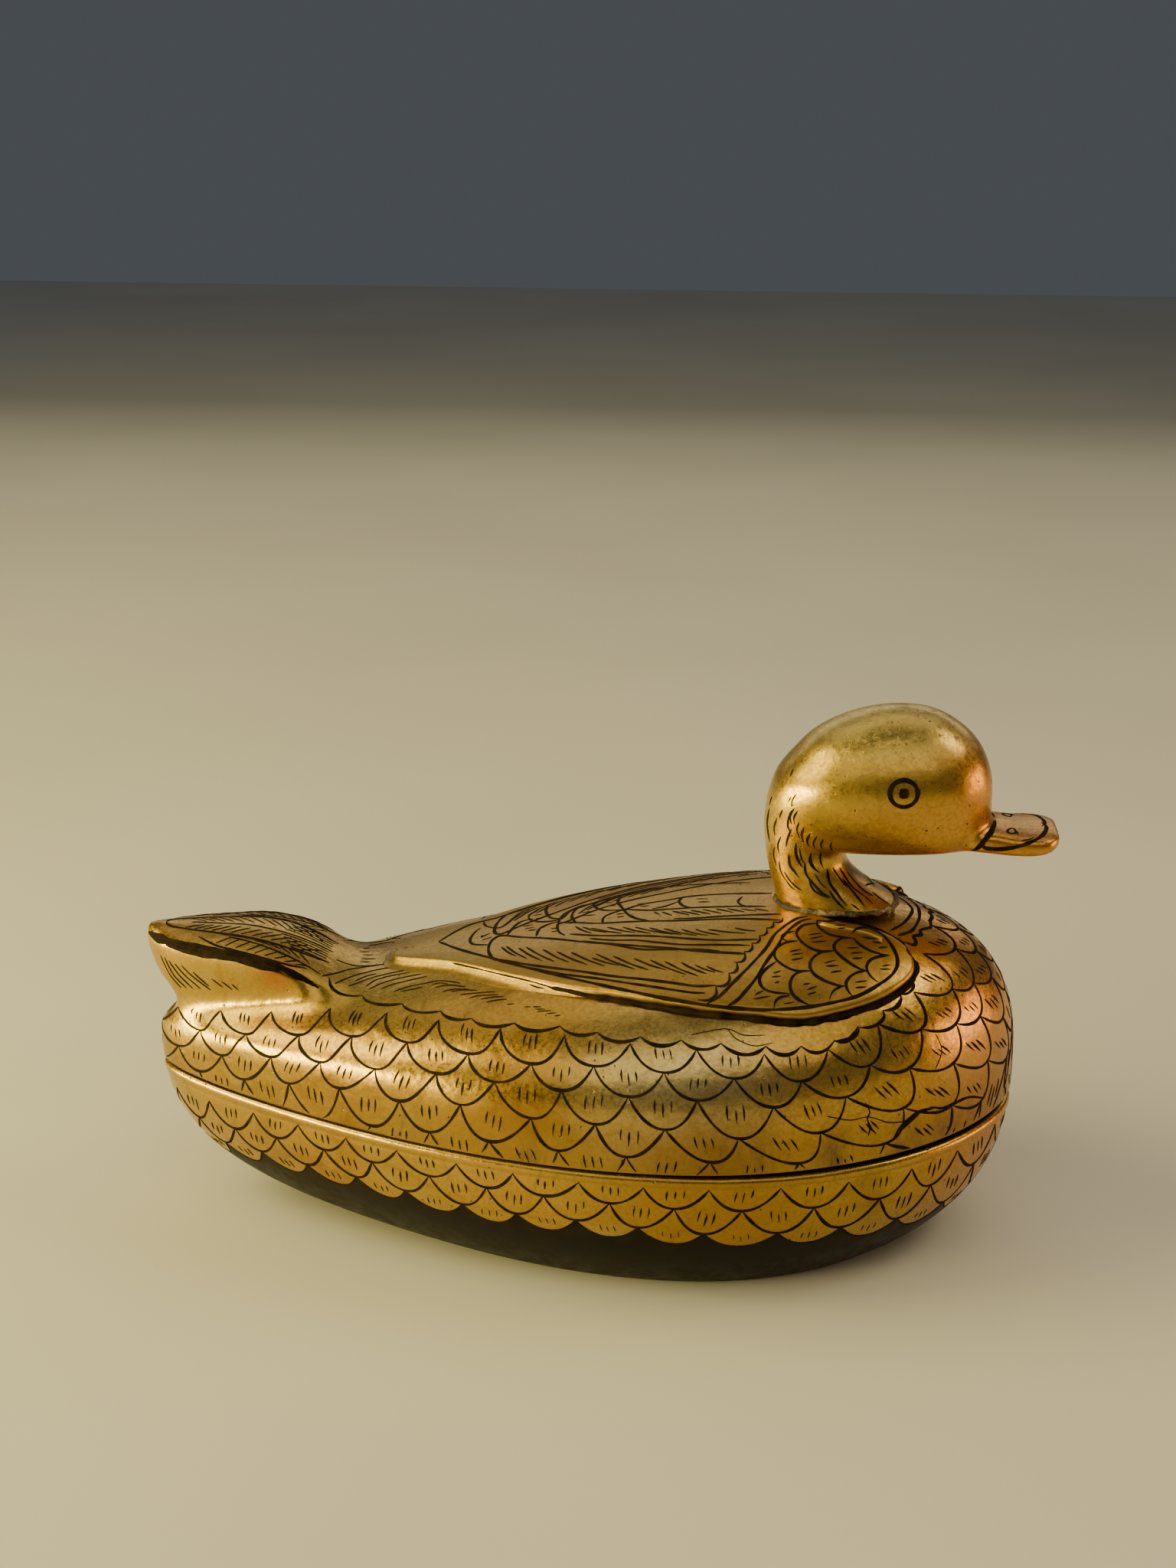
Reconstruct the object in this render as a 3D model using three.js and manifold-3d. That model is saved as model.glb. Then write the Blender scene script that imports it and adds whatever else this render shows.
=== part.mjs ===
// Lacquered wooden duck box: a carved bowl with a lift-off lid in the shape of a resting duck.
// Millimetres. +X towards the bill, +Y to the duck's left, +Z up, the foot stands on z = 0.
import * as THREE from "three";
import { mergeVertices } from "three/addons/utils/BufferGeometryUtils.js";
import Module from "manifold-3d";

// Body plan: one smooth outline, widest a little ahead of the middle
const WIDEST_X = 29;
const FRONT_LENGTH = 102; // widest station to the breast
const REAR_LENGTH = 166; // widest station to the stern
const BODY_HALF_WIDTH = 72;
const BREAST_POWER = 0.58; // 0.5 would make the breast half an ellipse
const STERN_POWER = 1.1; // the larger, the slimmer the run to the stern
const STERN_ROUNDNESS = 1; // 0 would end the stern in a point

// Body section: a flattish back above the widest level, a fuller keel below it
const WIDEST_Z = 56;
const BACK_Z = 93.1; // height of the back's straight line above x = 0
const BACK_SLOPE = 0.19; // rise of that line for each millimetre forward
const BACK_FRONT_POWER = 2.6; // 2 would round the back like an ellipse
const BACK_FLANK_POWER = 2.5;
const BACK_STERN_POWER = 4.5; // the back gets squarer towards the stern
const KEEL_DEPTH = 67; // below the widest level; the foot cuts it off at z = 0
const KEEL_POWER = 2.65;

// Where the bowl and the lid part
const SEAM_Z = 45;
const SEAT_GAP = 0.35; // least gap under the lid's rim
const SEAT_X = -30; // station where the rim seats
const RIM_BOW = 1.85; // the seasoned rim stands this much higher at the breast

// Walls and fits
const BOWL_WALL = 7;
const BOWL_FLOOR = 9;
const LIP_ROUND = 1.2; // the lip's inner edge is eased by this much
const LIP_EASE = 0.36; // its outer edge
const LIP_BEAD = 3.4; // height of the plain bead under the lip
const LIP_PROUD = 0.35; // the bead stands this much proud of the carved side
const LID_CROWN = 9; // thickness of wood over the lid's hollow
const COLLAR_THICKNESS = 2.4;
const COLLAR_RISE = 7.5; // above the seam
const COLLAR_DROP = 7; // below the seam, down to a ledge in the bowl's wall
const COLLAR_LEDGE = 1.6; // the bowl's wall steps in by this much under the collar
const GLUE_GAP = 0.4; // between pieces that are glued or pressed together
const LID_CLEARANCE = 0.8; // between the collar and the lid's wall
const CUT_OVERLAP = 1; // a cut starts this far outside the wood it opens

// Raised mantle on the back, a shield with its tip towards the tail
const MANTLE_REAR = 90; // widest station to its tip
const MANTLE_FRONT = 70; // widest station to its front lobes
const MANTLE_HALF_WIDTH = 58.2;
const MANTLE_RISE = 2.6;
const MANTLE_ROOT = 4; // depth to which it is one with the lid's wood

// Tail, a leaf-shaped paddle that overhangs the stern
const TAIL_OVERHANG = 3;
const TAIL_LENGTH = 68;
const TAIL_HALF_WIDTH = 24.5;
const TAIL_POWER = 0.5; // the smaller, the blunter its tip
const TAIL_TOP_Z = 89;
const TAIL_SINK = 14; // its top sinks this far into the back at its root
const TAIL_SINK_START = 0.42; // share of its length where the top starts to sink
const TAIL_CROWN = 1.2;
const TAIL_WAIST_DROP = 22; // top to the narrow waist above the rump
const TAIL_WAIST_SHARE = 0.72; // of the half width at the top
const TAIL_ROOT_DEPTH = 9; // below the waist, inside the body
const TAIL_TIP_THICKNESS = 5;
const TAIL_UNDERCUT = 9.5; // length over which the tip's underside runs down to the waist
const TAIL_TIP_ROOT = 0.05; // least depth below the waist, as a share of the root's

// Neck and head, measured from the neck's axis and from the seat on the mantle
const NECK_AHEAD = 38; // neck axis ahead of the widest station
const JAW_RISE = 18; // seat to the head's flat underside
const NECK_HALF_WIDTH = 13.5;
const HEAD_BACK = 14.9; // neck axis to the back of the head
const HEAD_LENGTH = 68;
const HEAD_HEIGHT = 42.4;
const HEAD_HALF_WIDTH = 23;
const HEAD_SQUARENESS = 2.3;
const BILL_LENGTH = 20;
const BILL_HALF_WIDTH = 14;
const BILL_THICKNESS = 8.2;
const BILL_SQUARENESS = 2.6;

// Peg and putty that hold the head on
const DOWEL_DIAMETER = 12;
const DOWEL_IN_NECK = 24;
const DOWEL_END = 1; // it stands this far out of the wood, inside the lid's hollow
const PUTTY_WIDTH = 1.8;
const PUTTY_HEIGHT = 2;

// Facets
const OUTLINE_SEGMENTS = 76;
const BACK_RINGS = 12;
const KEEL_RINGS = 8;
const HEAD_SEGMENTS = 40;

const wasm = await Module();
wasm.setup();

// Rings and solids

// Closed surface through rings of equal count; a ring of one point is a pole.
function geometryFromRings(rings, loop = false) {
  const vertices = [];
  const faces = [];
  const starts = rings.map((ring) => {
    const start = vertices.length;
    vertices.push(...ring);
    return start;
  });
  const count = Math.max(...rings.map((ring) => ring.length));
  const pairs = loop ? rings.length : rings.length - 1;
  for (let k = 0; k < pairs; k++) {
    const next = (k + 1) % rings.length;
    for (let i = 0; i < count; i++) {
      const j = (i + 1) % count;
      const a = starts[k] + (rings[k].length > 1 ? i : 0);
      const b = starts[k] + (rings[k].length > 1 ? j : 0);
      const c = starts[next] + (rings[next].length > 1 ? j : 0);
      const d = starts[next] + (rings[next].length > 1 ? i : 0);
      if (a !== b) faces.push([a, b, c]);
      if (c !== d) faces.push([a, c, d]);
    }
  }
  const geometry = new THREE.BufferGeometry();
  geometry.setAttribute("position", new THREE.Float32BufferAttribute(vertices.flat(), 3));
  geometry.setIndex(faces.flat());
  return geometry;
}

// The same as a solid, turned so that its faces point out.
function solidFromRings(rings, loop = false) {
  const solid = solidFromGeometry(geometryFromRings(rings, loop));
  if (solid.volume() > 0) return solid;
  return solidFromGeometry(geometryFromRings([...rings].reverse(), loop));
}

function solidFromGeometry(geometry) {
  const bare = geometry.clone();
  bare.deleteAttribute("normal");
  bare.deleteAttribute("uv");
  const merged = mergeVertices(bare);
  return new wasm.Manifold(
    new wasm.Mesh({
      numProp: 3,
      vertProperties: merged.attributes.position.array,
      triVerts: new Uint32Array(merged.index.array),
    }),
  );
}

function geometryFromSolid(solid) {
  const mesh = solid.getMesh();
  const geometry = new THREE.BufferGeometry();
  geometry.setAttribute("position", new THREE.Float32BufferAttribute(mesh.vertProperties, 3));
  geometry.setIndex(new THREE.Uint32BufferAttribute(mesh.triVerts, 1));
  geometry.computeVertexNormals();
  return geometry;
}

// Body

// Point of the plan outline, grown outwards by grow and then scaled about the widest station.
function outlinePoint(angle, scale, grow) {
  const t = Math.abs(Math.cos(angle));
  const ahead = Math.cos(angle) >= 0;
  const length = (ahead ? FRONT_LENGTH : -REAR_LENGTH) + (ahead ? grow : -grow);
  const breast = Math.pow(1 - t * t, BREAST_POWER);
  const taper = Math.pow(Math.cos((Math.PI / 2) * t), STERN_POWER);
  const stern = Math.sqrt((taper * (taper + STERN_ROUNDNESS)) / (1 + STERN_ROUNDNESS));
  const width = (BODY_HALF_WIDTH + grow) * (ahead ? breast : stern) * Math.sign(Math.sin(angle));
  return [WIDEST_X + scale * length * t, scale * width];
}

function ringAngles() {
  return Array.from({ length: OUTLINE_SEGMENTS }, (_, i) => (2 * Math.PI * (i + 0.5)) / OUTLINE_SEGMENTS);
}

function backPower(angle) {
  const along = Math.cos(angle);
  const end = along > 0 ? BACK_FRONT_POWER : BACK_STERN_POWER;
  return THREE.MathUtils.lerp(BACK_FLANK_POWER, end, along * along);
}

// Ring above the widest level: climb runs from 0 at that level to 1 at the ridge.
function backRing(climb, grow) {
  const turn = (climb * Math.PI) / 2;
  return ringAngles().map((angle) => {
    const power = backPower(angle);
    const scale = Math.pow(Math.cos(turn), 2 / power);
    const share = Math.pow(Math.sin(turn), 2 / power);
    const [x, y] = outlinePoint(angle, scale, grow);
    return [x, y, WIDEST_Z + (BACK_Z + BACK_SLOPE * x + grow - WIDEST_Z) * share];
  });
}

// Ring below the widest level, at the height that levelAt gives for each station.
function keelRing(levelAt, grow) {
  return ringAngles().map((angle) => {
    const edge = outlinePoint(angle, 1, grow);
    const level = levelAt(edge[0]);
    const scale = keelScale(level, grow);
    const [x, y] = outlinePoint(angle, scale, grow);
    return [x, y, level];
  });
}

function keelScale(level, grow) {
  const share = (WIDEST_Z - level) / (KEEL_DEPTH + grow);
  return Math.pow(1 - Math.pow(share, KEEL_POWER), 1 / KEEL_POWER);
}

function backPole(grow) {
  return [[WIDEST_X, 0, BACK_Z + BACK_SLOPE * WIDEST_X + grow]];
}

// Height of the back on the centre line.
function ridgeHeight(x, grow) {
  const length = x > WIDEST_X ? FRONT_LENGTH + grow : REAR_LENGTH + grow;
  const scale = Math.abs(x - WIDEST_X) / length;
  const power = backPower(x > WIDEST_X ? 0 : Math.PI);
  const share = Math.pow(1 - Math.pow(scale, power), 1 / power);
  return WIDEST_Z + (BACK_Z + BACK_SLOPE * x + grow - WIDEST_Z) * share;
}

// Closed upper half of the body, grown by grow, with a flat underside at the seam.
function upperBody(grow) {
  const rings = [[[WIDEST_X, 0, SEAM_Z]], keelRing(() => SEAM_Z, grow)];
  for (let k = 0; k < BACK_RINGS; k++) rings.push(backRing(k / BACK_RINGS, grow));
  rings.push(backPole(grow));
  return solidFromRings(rings);
}

function rimHeight(x) {
  const reach = WIDEST_X + FRONT_LENGTH - SEAT_X;
  return SEAM_Z + SEAT_GAP + RIM_BOW * Math.pow((x - SEAT_X) / reach, 2);
}

// Vertical wall ring: the plan outline at the height that levelAt gives for each station.
function wallRing(levelAt, grow) {
  return ringAngles().map((angle) => {
    const [x, y] = outlinePoint(angle, 1, grow);
    return [x, y, levelAt(x)];
  });
}

// Mantle

// Half outline of the mantle from its tip to the notch under the neck, as shares of its sizes.
const MANTLE_SHARES = [
  [-1, 0],
  [-0.76, 0.3],
  [-0.52, 0.585],
  [-0.21, 0.84],
  [0.11, 0.985],
  [0.37, 1],
  [0.59, 0.945],
  [0.79, 0.81],
  [0.93, 0.635],
  [1, 0.45],
  [0.94, 0.31],
  [0.8, 0.235],
  [0.78, 0],
];
const MANTLE_POINTS = 44;

function mantleOutline(grow) {
  const half = MANTLE_SHARES.map(
    ([u, v]) => new THREE.Vector2(u * (u < 0 ? MANTLE_REAR : MANTLE_FRONT), v * MANTLE_HALF_WIDTH),
  );
  const points = new THREE.SplineCurve(half).getSpacedPoints(MANTLE_POINTS);
  const grown = points.map((p, i) => {
    const before = points[Math.max(i - 1, 0)];
    const after = points[Math.min(i + 1, points.length - 1)];
    const along = after.clone().sub(before).normalize();
    return new THREE.Vector2(p.x - along.y * grow, Math.max(p.y + along.x * grow, 0));
  });
  grown[0].set(points[0].x - grow, 0);
  grown[grown.length - 1].y = 0;
  const other = grown.slice(1, -1).reverse().map((p) => new THREE.Vector2(p.x, -p.y));
  return [...grown, ...other];
}

// The mantle's block, one with the lid's wood below and following the back above.
function mantle(grow) {
  const shape = new THREE.Shape(mantleOutline(grow));
  const height = BACK_Z + BACK_SLOPE * (WIDEST_X + FRONT_LENGTH);
  const prism = new THREE.ExtrudeGeometry(shape, { depth: height, bevelEnabled: false });
  prism.translate(WIDEST_X, 0, WIDEST_Z);
  return solidFromGeometry(prism).intersect(upperBody(MANTLE_RISE + grow)).subtract(upperBody(-MANTLE_ROOT));
}

// Outside of the lid's back with its mantle, grown by grow: what stands on the lid is cut by it.
function lidSkin(grow) {
  return upperBody(grow).add(mantle(grow));
}

// Tail

const TAIL_STATIONS = [0.01, 0.04, 0.09, 0.16, 0.26, 0.38, 0.5, 0.62, 0.74, 0.86, 1];
const TAIL_TOP_POINTS = 9;

function tailSection(share) {
  const tip = WIDEST_X - REAR_LENGTH - TAIL_OVERHANG;
  const x = tip + share * TAIL_LENGTH;
  const half = TAIL_HALF_WIDTH * Math.pow(Math.sin((share * Math.PI) / 2), TAIL_POWER);
  const sink = TAIL_SINK * Math.pow(Math.max(share - TAIL_SINK_START, 0) / (1 - TAIL_SINK_START), 2);
  const top = TAIL_TOP_Z - sink;
  const undercut = (x - tip) / TAIL_UNDERCUT;
  const waist = TAIL_TOP_Z - THREE.MathUtils.lerp(TAIL_TIP_THICKNESS, TAIL_WAIST_DROP, Math.min(undercut, 1));
  const root = waist - THREE.MathUtils.clamp(undercut - 1, TAIL_TIP_ROOT, 1) * TAIL_ROOT_DEPTH;
  const ring = [];
  for (let i = 0; i < TAIL_TOP_POINTS; i++) {
    const across = 1 - (2 * i) / (TAIL_TOP_POINTS - 1);
    ring.push([x, half * across, top - TAIL_CROWN * across * across]);
  }
  const side = [
    [0.97, 0.35],
    [(0.97 + TAIL_WAIST_SHARE) / 2, 0.7],
    [TAIL_WAIST_SHARE, 1],
  ];
  const lower = side.map(([wide, deep]) => [wide * half, THREE.MathUtils.lerp(top - TAIL_CROWN, waist, deep)]);
  lower.push([TAIL_WAIST_SHARE * half, root]);
  for (const [y, z] of lower) ring.push([x, -y, z]);
  for (const [y, z] of [...lower].reverse()) ring.push([x, y, z]);
  return ring;
}

function tail() {
  const sections = TAIL_STATIONS.map(tailSection);
  const tip = WIDEST_X - REAR_LENGTH - TAIL_OVERHANG;
  const last = tip + TAIL_LENGTH;
  const start = [[tip, 0, TAIL_TOP_Z - TAIL_TIP_THICKNESS / 2]];
  const end = [[last, 0, TAIL_TOP_Z - TAIL_SINK - TAIL_WAIST_DROP]];
  return solidFromRings([start, ...sections, end]);
}

// Neck, head and bill

const NECK_X = WIDEST_X + NECK_AHEAD;
const SEAT_Z = ridgeHeight(NECK_X, MANTLE_RISE);

// Oval ring in a level plane, squarer than an ellipse where power is over 2.
function levelRing(back, front, half, level, power) {
  const centre = (front + back) / 2;
  const reach = (front - back) / 2;
  return Array.from({ length: HEAD_SEGMENTS }, (_, i) => {
    const angle = (2 * Math.PI * (i + 0.5)) / HEAD_SEGMENTS;
    const c = Math.cos(angle);
    const s = Math.sin(angle);
    const x = centre + reach * Math.sign(c) * Math.pow(Math.abs(c), 2 / power);
    return [NECK_X + x, half * Math.sign(s) * Math.pow(Math.abs(s), 2 / power), SEAT_Z + level];
  });
}

// Levels as shares of the jaw's rise; back and front from the axis as shares of the neck's half width.
const NECK_LEVELS = [
  [-0.6, -0.66, 2.5, 1.22],
  [-0.2, -0.72, 2.2, 1.15],
  [0.02, -0.79, 1.8, 1.09],
  [0.17, -0.85, 1.48, 1.06],
  [0.36, -0.92, 1.13, 1.02],
  [0.55, -0.98, 0.88, 1.0],
  [0.76, -1.04, 0.75, 0.99],
  [1.1, -1.08, 0.8, 1.07],
  [1.5, -1.08, 1.2, 1.1],
];
const NECK_SQUARENESS = 2.2;

function neck(grow) {
  const rings = NECK_LEVELS.map(([level, back, front, half]) =>
    levelRing(
      back * NECK_HALF_WIDTH - grow,
      front * NECK_HALF_WIDTH + grow,
      half * NECK_HALF_WIDTH + grow,
      level * JAW_RISE,
      NECK_SQUARENESS,
    ),
  );
  const low = [[NECK_X, 0, SEAT_Z + NECK_LEVELS[0][0] * JAW_RISE]];
  const high = [[NECK_X, 0, SEAT_Z + NECK_LEVELS.at(-1)[0] * JAW_RISE]];
  return solidFromRings([low, ...rings, high]);
}

// Height, back, front and half width as shares of the head's height, length, length and half width.
const HEAD_LEVELS = [
  [0, 0.012, 0.955, 0.62],
  [0.05, 0, 0.985, 0.76],
  [0.17, 0, 1, 0.88],
  [0.34, 0.016, 0.998, 0.98],
  [0.5, 0.05, 0.994, 1],
  [0.65, 0.122, 0.966, 0.93],
  [0.78, 0.2, 0.915, 0.79],
  [0.89, 0.315, 0.835, 0.59],
  [0.97, 0.46, 0.735, 0.33],
];
const CROWN_SHARE = 0.595; // of the head's length, back to the highest point

function head() {
  const rings = HEAD_LEVELS.map(([height, back, front, half]) =>
    levelRing(
      back * HEAD_LENGTH - HEAD_BACK,
      front * HEAD_LENGTH - HEAD_BACK,
      half * HEAD_HALF_WIDTH,
      JAW_RISE + height * HEAD_HEIGHT,
      HEAD_SQUARENESS,
    ),
  );
  const under = [[NECK_X + HEAD_LENGTH / 2 - HEAD_BACK, 0, SEAT_Z + JAW_RISE]];
  const crown = [[NECK_X + CROWN_SHARE * HEAD_LENGTH - HEAD_BACK, 0, SEAT_Z + JAW_RISE + HEAD_HEIGHT]];
  return solidFromRings([under, ...rings, crown]);
}

// Station along the bill, top, bottom and half width as shares of its own sizes; it starts in the head.
const BILL_STATIONS = [
  [-0.6, 1, 0.05, 0.9],
  [0, 0.94, -0.06, 0.93],
  [0.28, 0.85, -0.08, 0.97],
  [0.55, 0.82, -0.07, 1],
  [0.74, 0.8, 0.04, 0.94],
  [0.88, 0.74, 0.22, 0.74],
  [0.97, 0.64, 0.38, 0.4],
];
const BILL_TIP_RISE = 0.51; // share of its thickness
const BILL_SEGMENTS = 24;

function bill() {
  const base = NECK_X - HEAD_BACK + HEAD_LENGTH;
  const jaw = SEAT_Z + JAW_RISE;
  const rings = BILL_STATIONS.map(([along, top, bottom, half]) =>
    Array.from({ length: BILL_SEGMENTS }, (_, i) => {
      const angle = (2 * Math.PI * (i + 0.5)) / BILL_SEGMENTS;
      const c = Math.cos(angle);
      const s = Math.sin(angle);
      const across = Math.sign(c) * Math.pow(Math.abs(c), 2 / BILL_SQUARENESS);
      const up = Math.sign(s) * Math.pow(Math.abs(s), 2 / BILL_SQUARENESS);
      const middle = (top + bottom) / 2;
      const rise = (top - bottom) / 2;
      return [
        base + along * BILL_LENGTH,
        across * half * BILL_HALF_WIDTH,
        jaw + (middle + rise * up) * BILL_THICKNESS,
      ];
    }),
  );
  const root = [[base + BILL_STATIONS[0][0] * BILL_LENGTH, 0, jaw + BILL_THICKNESS / 2]];
  const tip = [[base + BILL_LENGTH, 0, jaw + BILL_TIP_RISE * BILL_THICKNESS]];
  return solidFromRings([root, ...rings, tip]);
}

// Peg

const DOWEL_LOW = ridgeHeight(NECK_X, -LID_CROWN) - DOWEL_END;
const DOWEL_HIGH = SEAT_Z + DOWEL_IN_NECK;
const DOWEL_SEGMENTS = 32;

function peg(radius, low, high) {
  const cylinder = new THREE.CylinderGeometry(radius, radius, high - low, DOWEL_SEGMENTS);
  cylinder.rotateX(Math.PI / 2);
  cylinder.translate(NECK_X, 0, (low + high) / 2);
  return solidFromGeometry(cylinder);
}

function pegHole() {
  return peg(DOWEL_DIAMETER / 2 + GLUE_GAP, SEAM_Z, DOWEL_HIGH + GLUE_GAP);
}

// Pieces

function boxBase() {
  const rings = [];
  const ledge = SEAM_Z - COLLAR_DROP - GLUE_GAP;
  rings.push([[WIDEST_X, 0, BOWL_FLOOR]]);
  for (let k = 0; k <= KEEL_RINGS; k++) {
    const level = THREE.MathUtils.lerp(BOWL_FLOOR, ledge, k / KEEL_RINGS);
    rings.push(keelRing(() => level, -BOWL_WALL - COLLAR_LEDGE));
  }
  rings.push(wallRing(() => ledge, -BOWL_WALL));
  rings.push(wallRing(() => SEAM_Z, -BOWL_WALL));
  rings.push(keelRing(() => SEAM_Z, -LIP_ROUND));
  rings.push(keelRing(() => SEAM_Z - LIP_EASE, -LIP_EASE));
  rings.push(keelRing(() => SEAM_Z - LIP_ROUND, LIP_PROUD));
  rings.push(keelRing(() => SEAM_Z - LIP_BEAD + LIP_ROUND, LIP_PROUD));
  for (let k = 0; k <= KEEL_RINGS; k++) {
    const low = Math.asin(Math.pow(WIDEST_Z / KEEL_DEPTH, KEEL_POWER / 2));
    const high = Math.asin(Math.pow((WIDEST_Z - SEAM_Z + LIP_BEAD) / KEEL_DEPTH, KEEL_POWER / 2));
    const turn = THREE.MathUtils.lerp(high, low, k / KEEL_RINGS);
    const level = WIDEST_Z - KEEL_DEPTH * Math.pow(Math.sin(turn), 2 / KEEL_POWER);
    rings.push(keelRing(() => Math.max(level, 0), 0));
  }
  rings.push([[WIDEST_X, 0, 0]]);
  return solidFromRings(rings);
}

function rimCollar() {
  const outer = -BOWL_WALL - GLUE_GAP;
  const inner = outer - COLLAR_THICKNESS;
  const low = () => SEAM_Z - COLLAR_DROP;
  const high = () => SEAM_Z + COLLAR_RISE;
  const rings = [wallRing(low, outer), wallRing(high, outer), wallRing(high, inner), wallRing(low, inner)];
  return solidFromRings(rings, true);
}

const LID_WALL = BOWL_WALL + GLUE_GAP - LID_CLEARANCE;

function lidShell() {
  const below = [[WIDEST_X, 0, rimHeight(WIDEST_X)]];
  const rings = [below, wallRing(rimHeight, -LID_WALL - CUT_OVERLAP), keelRing(rimHeight, 0)];
  for (let k = 0; k < BACK_RINGS; k++) rings.push(backRing(k / BACK_RINGS, 0));
  rings.push(backPole(0));
  return solidFromRings(rings).add(mantle(0)).add(tail()).subtract(lidHollow()).subtract(pegHole());
}

// The lid's hollow; it starts below the rim, so that it cuts it open.
function lidHollow() {
  const start = SEAM_Z - CUT_OVERLAP;
  const rings = [[[WIDEST_X, 0, start]], wallRing(() => start, -LID_WALL)];
  for (let k = 0; k < BACK_RINGS; k++) rings.push(crownRing(k / BACK_RINGS, -LID_WALL));
  rings.push([[WIDEST_X, 0, BACK_Z + BACK_SLOPE * WIDEST_X - LID_CROWN]]);
  return solidFromRings(rings);
}

// Ring of the lid's hollow: its own wall at the sides, its own thickness over the crown.
function crownRing(climb, wall) {
  return backRing(climb, wall).map(([x, y, z]) => {
    const roof = BACK_Z + BACK_SLOPE * x + wall - WIDEST_Z;
    return [x, y, WIDEST_Z + ((z - WIDEST_Z) * (roof - wall - LID_CROWN)) / roof];
  });
}

function headAndNeck() {
  return neck(0).add(head()).add(bill()).subtract(lidSkin(GLUE_GAP)).subtract(pegHole());
}

function neckDowel() {
  return peg(DOWEL_DIAMETER / 2, DOWEL_LOW, DOWEL_HIGH);
}

// Bead of lacquer putty in the corner between neck and back.
function neckPutty() {
  const reach = neck(GLUE_GAP + PUTTY_WIDTH).intersect(lidSkin(GLUE_GAP + PUTTY_HEIGHT));
  return reach.subtract(neck(GLUE_GAP)).subtract(lidSkin(GLUE_GAP));
}

// Assembly

const GILT = { color: 0xb8862f, roughness: 0.34, metalness: 0.85 };
const BLACK_LACQUER = { color: 0x1a1512, roughness: 0.3, metalness: 0 };
const BARE_WOOD = { color: 0xb08a5a, roughness: 0.75, metalness: 0 };
const PUTTY = { color: 0x3a342c, roughness: 0.7, metalness: 0 };

function piece(name, solid, finish) {
  const mesh = new THREE.Mesh(geometryFromSolid(solid), new THREE.MeshStandardMaterial(finish));
  mesh.name = name;
  return mesh;
}

const duckBox = new THREE.Group();
duckBox.add(piece("box_base", boxBase(), GILT));
duckBox.add(piece("rim_collar", rimCollar(), BLACK_LACQUER));
duckBox.add(piece("lid_shell", lidShell(), GILT));
duckBox.add(piece("head_and_neck", headAndNeck(), GILT));
duckBox.add(piece("neck_dowel", neckDowel(), BARE_WOOD));
duckBox.add(piece("neck_putty", neckPutty(), PUTTY));

// The origin lies midway between the tail tip and the bill tip.
const TAIL_TIP_X = WIDEST_X - REAR_LENGTH - TAIL_OVERHANG;
const BILL_TIP_X = NECK_X - HEAD_BACK + HEAD_LENGTH + BILL_LENGTH;
duckBox.position.x = -(TAIL_TIP_X + BILL_TIP_X) / 2;

export default duckBox;
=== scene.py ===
import math
import random

import bpy
import numpy as np
from bpy.props import FloatProperty, FloatVectorProperty, PointerProperty
from mathutils import Matrix, Vector
from mathutils.bvhtree import BVHTree


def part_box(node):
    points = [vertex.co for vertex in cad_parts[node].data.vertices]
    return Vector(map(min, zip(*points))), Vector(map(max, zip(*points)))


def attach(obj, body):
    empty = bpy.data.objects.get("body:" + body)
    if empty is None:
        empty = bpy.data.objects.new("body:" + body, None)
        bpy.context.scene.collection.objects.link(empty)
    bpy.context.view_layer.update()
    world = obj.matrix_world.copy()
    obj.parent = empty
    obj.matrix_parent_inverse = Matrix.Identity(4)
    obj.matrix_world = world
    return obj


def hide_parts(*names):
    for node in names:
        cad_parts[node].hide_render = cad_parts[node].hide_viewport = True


bl_info = {
    "name": "Lacquered wooden duck box",
    "version": (1, 0, 0),
    "blender": (4, 5, 0),
    "location": "View3D > Sidebar > Duck Box",
    "description": "Dresses the frame of a gilt duck-shaped lidded box",
    "category": "Add Mesh",
}

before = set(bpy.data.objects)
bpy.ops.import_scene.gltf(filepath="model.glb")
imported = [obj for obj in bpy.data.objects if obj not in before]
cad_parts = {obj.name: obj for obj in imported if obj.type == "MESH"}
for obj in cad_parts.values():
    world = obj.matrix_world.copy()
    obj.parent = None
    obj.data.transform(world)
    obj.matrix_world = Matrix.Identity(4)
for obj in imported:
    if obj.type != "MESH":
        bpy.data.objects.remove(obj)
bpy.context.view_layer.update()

MM = 0.001
SHIFT = np.array([-0.05, 0.0, 0.0])  # mm, the frame is centred between tail tip and bill tip

# Body form in millimetres, as in the frame
WIDEST_X, FRONT, REAR, HALF_WIDTH = 29.0, 102.0, 166.0, 72.0
BREAST_POWER, STERN_POWER, STERN_ROUNDNESS = 0.58, 1.1, 1.0
WIDEST_Z, BACK_Z, BACK_SLOPE = 56.0, 93.1, 0.19
FRONT_POWER, FLANK_POWER, STERN_BACK_POWER = 2.6, 2.5, 4.5
KEEL_DEPTH, KEEL_POWER = 67.0, 2.65
SEAM_Z, SEAT_GAP, SEAT_X, RIM_BOW = 45.0, 0.35, -30.0, 1.85
BOWL_WALL, BOWL_FLOOR, LIP_BEAD, LIP_PROUD = 7.0, 9.0, 3.4, 0.35
FOOT_EASE = 0.35  # rounded edge under the bowl
LID_WALL, LID_CROWN = 6.6, 9.0
LID_SKIRT = 38.0  # the lid is modelled down to here and then cut to the seam
COLLAR_OUT, COLLAR_IN, COLLAR_LEDGE = 7.4, 9.8, 1.6
COLLAR_LOW, COLLAR_HIGH = 38.0, 52.5
MANTLE_RISE = 2.6
TAIL_TIP_X, TAIL_LENGTH, TAIL_HALF, TAIL_TOP, TAIL_CROWN = -140.0, 68.0, 24.5, 89.0, 1.6
TAIL_LEVEL, TAIL_FALLING, TAIL_DROP = 0.42, 0.58, 14.0  # shares of the tail's length, and its fall
NECK_X, NECK_HALF, JAW_RISE = 67.0, 13.5, 18.0
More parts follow.
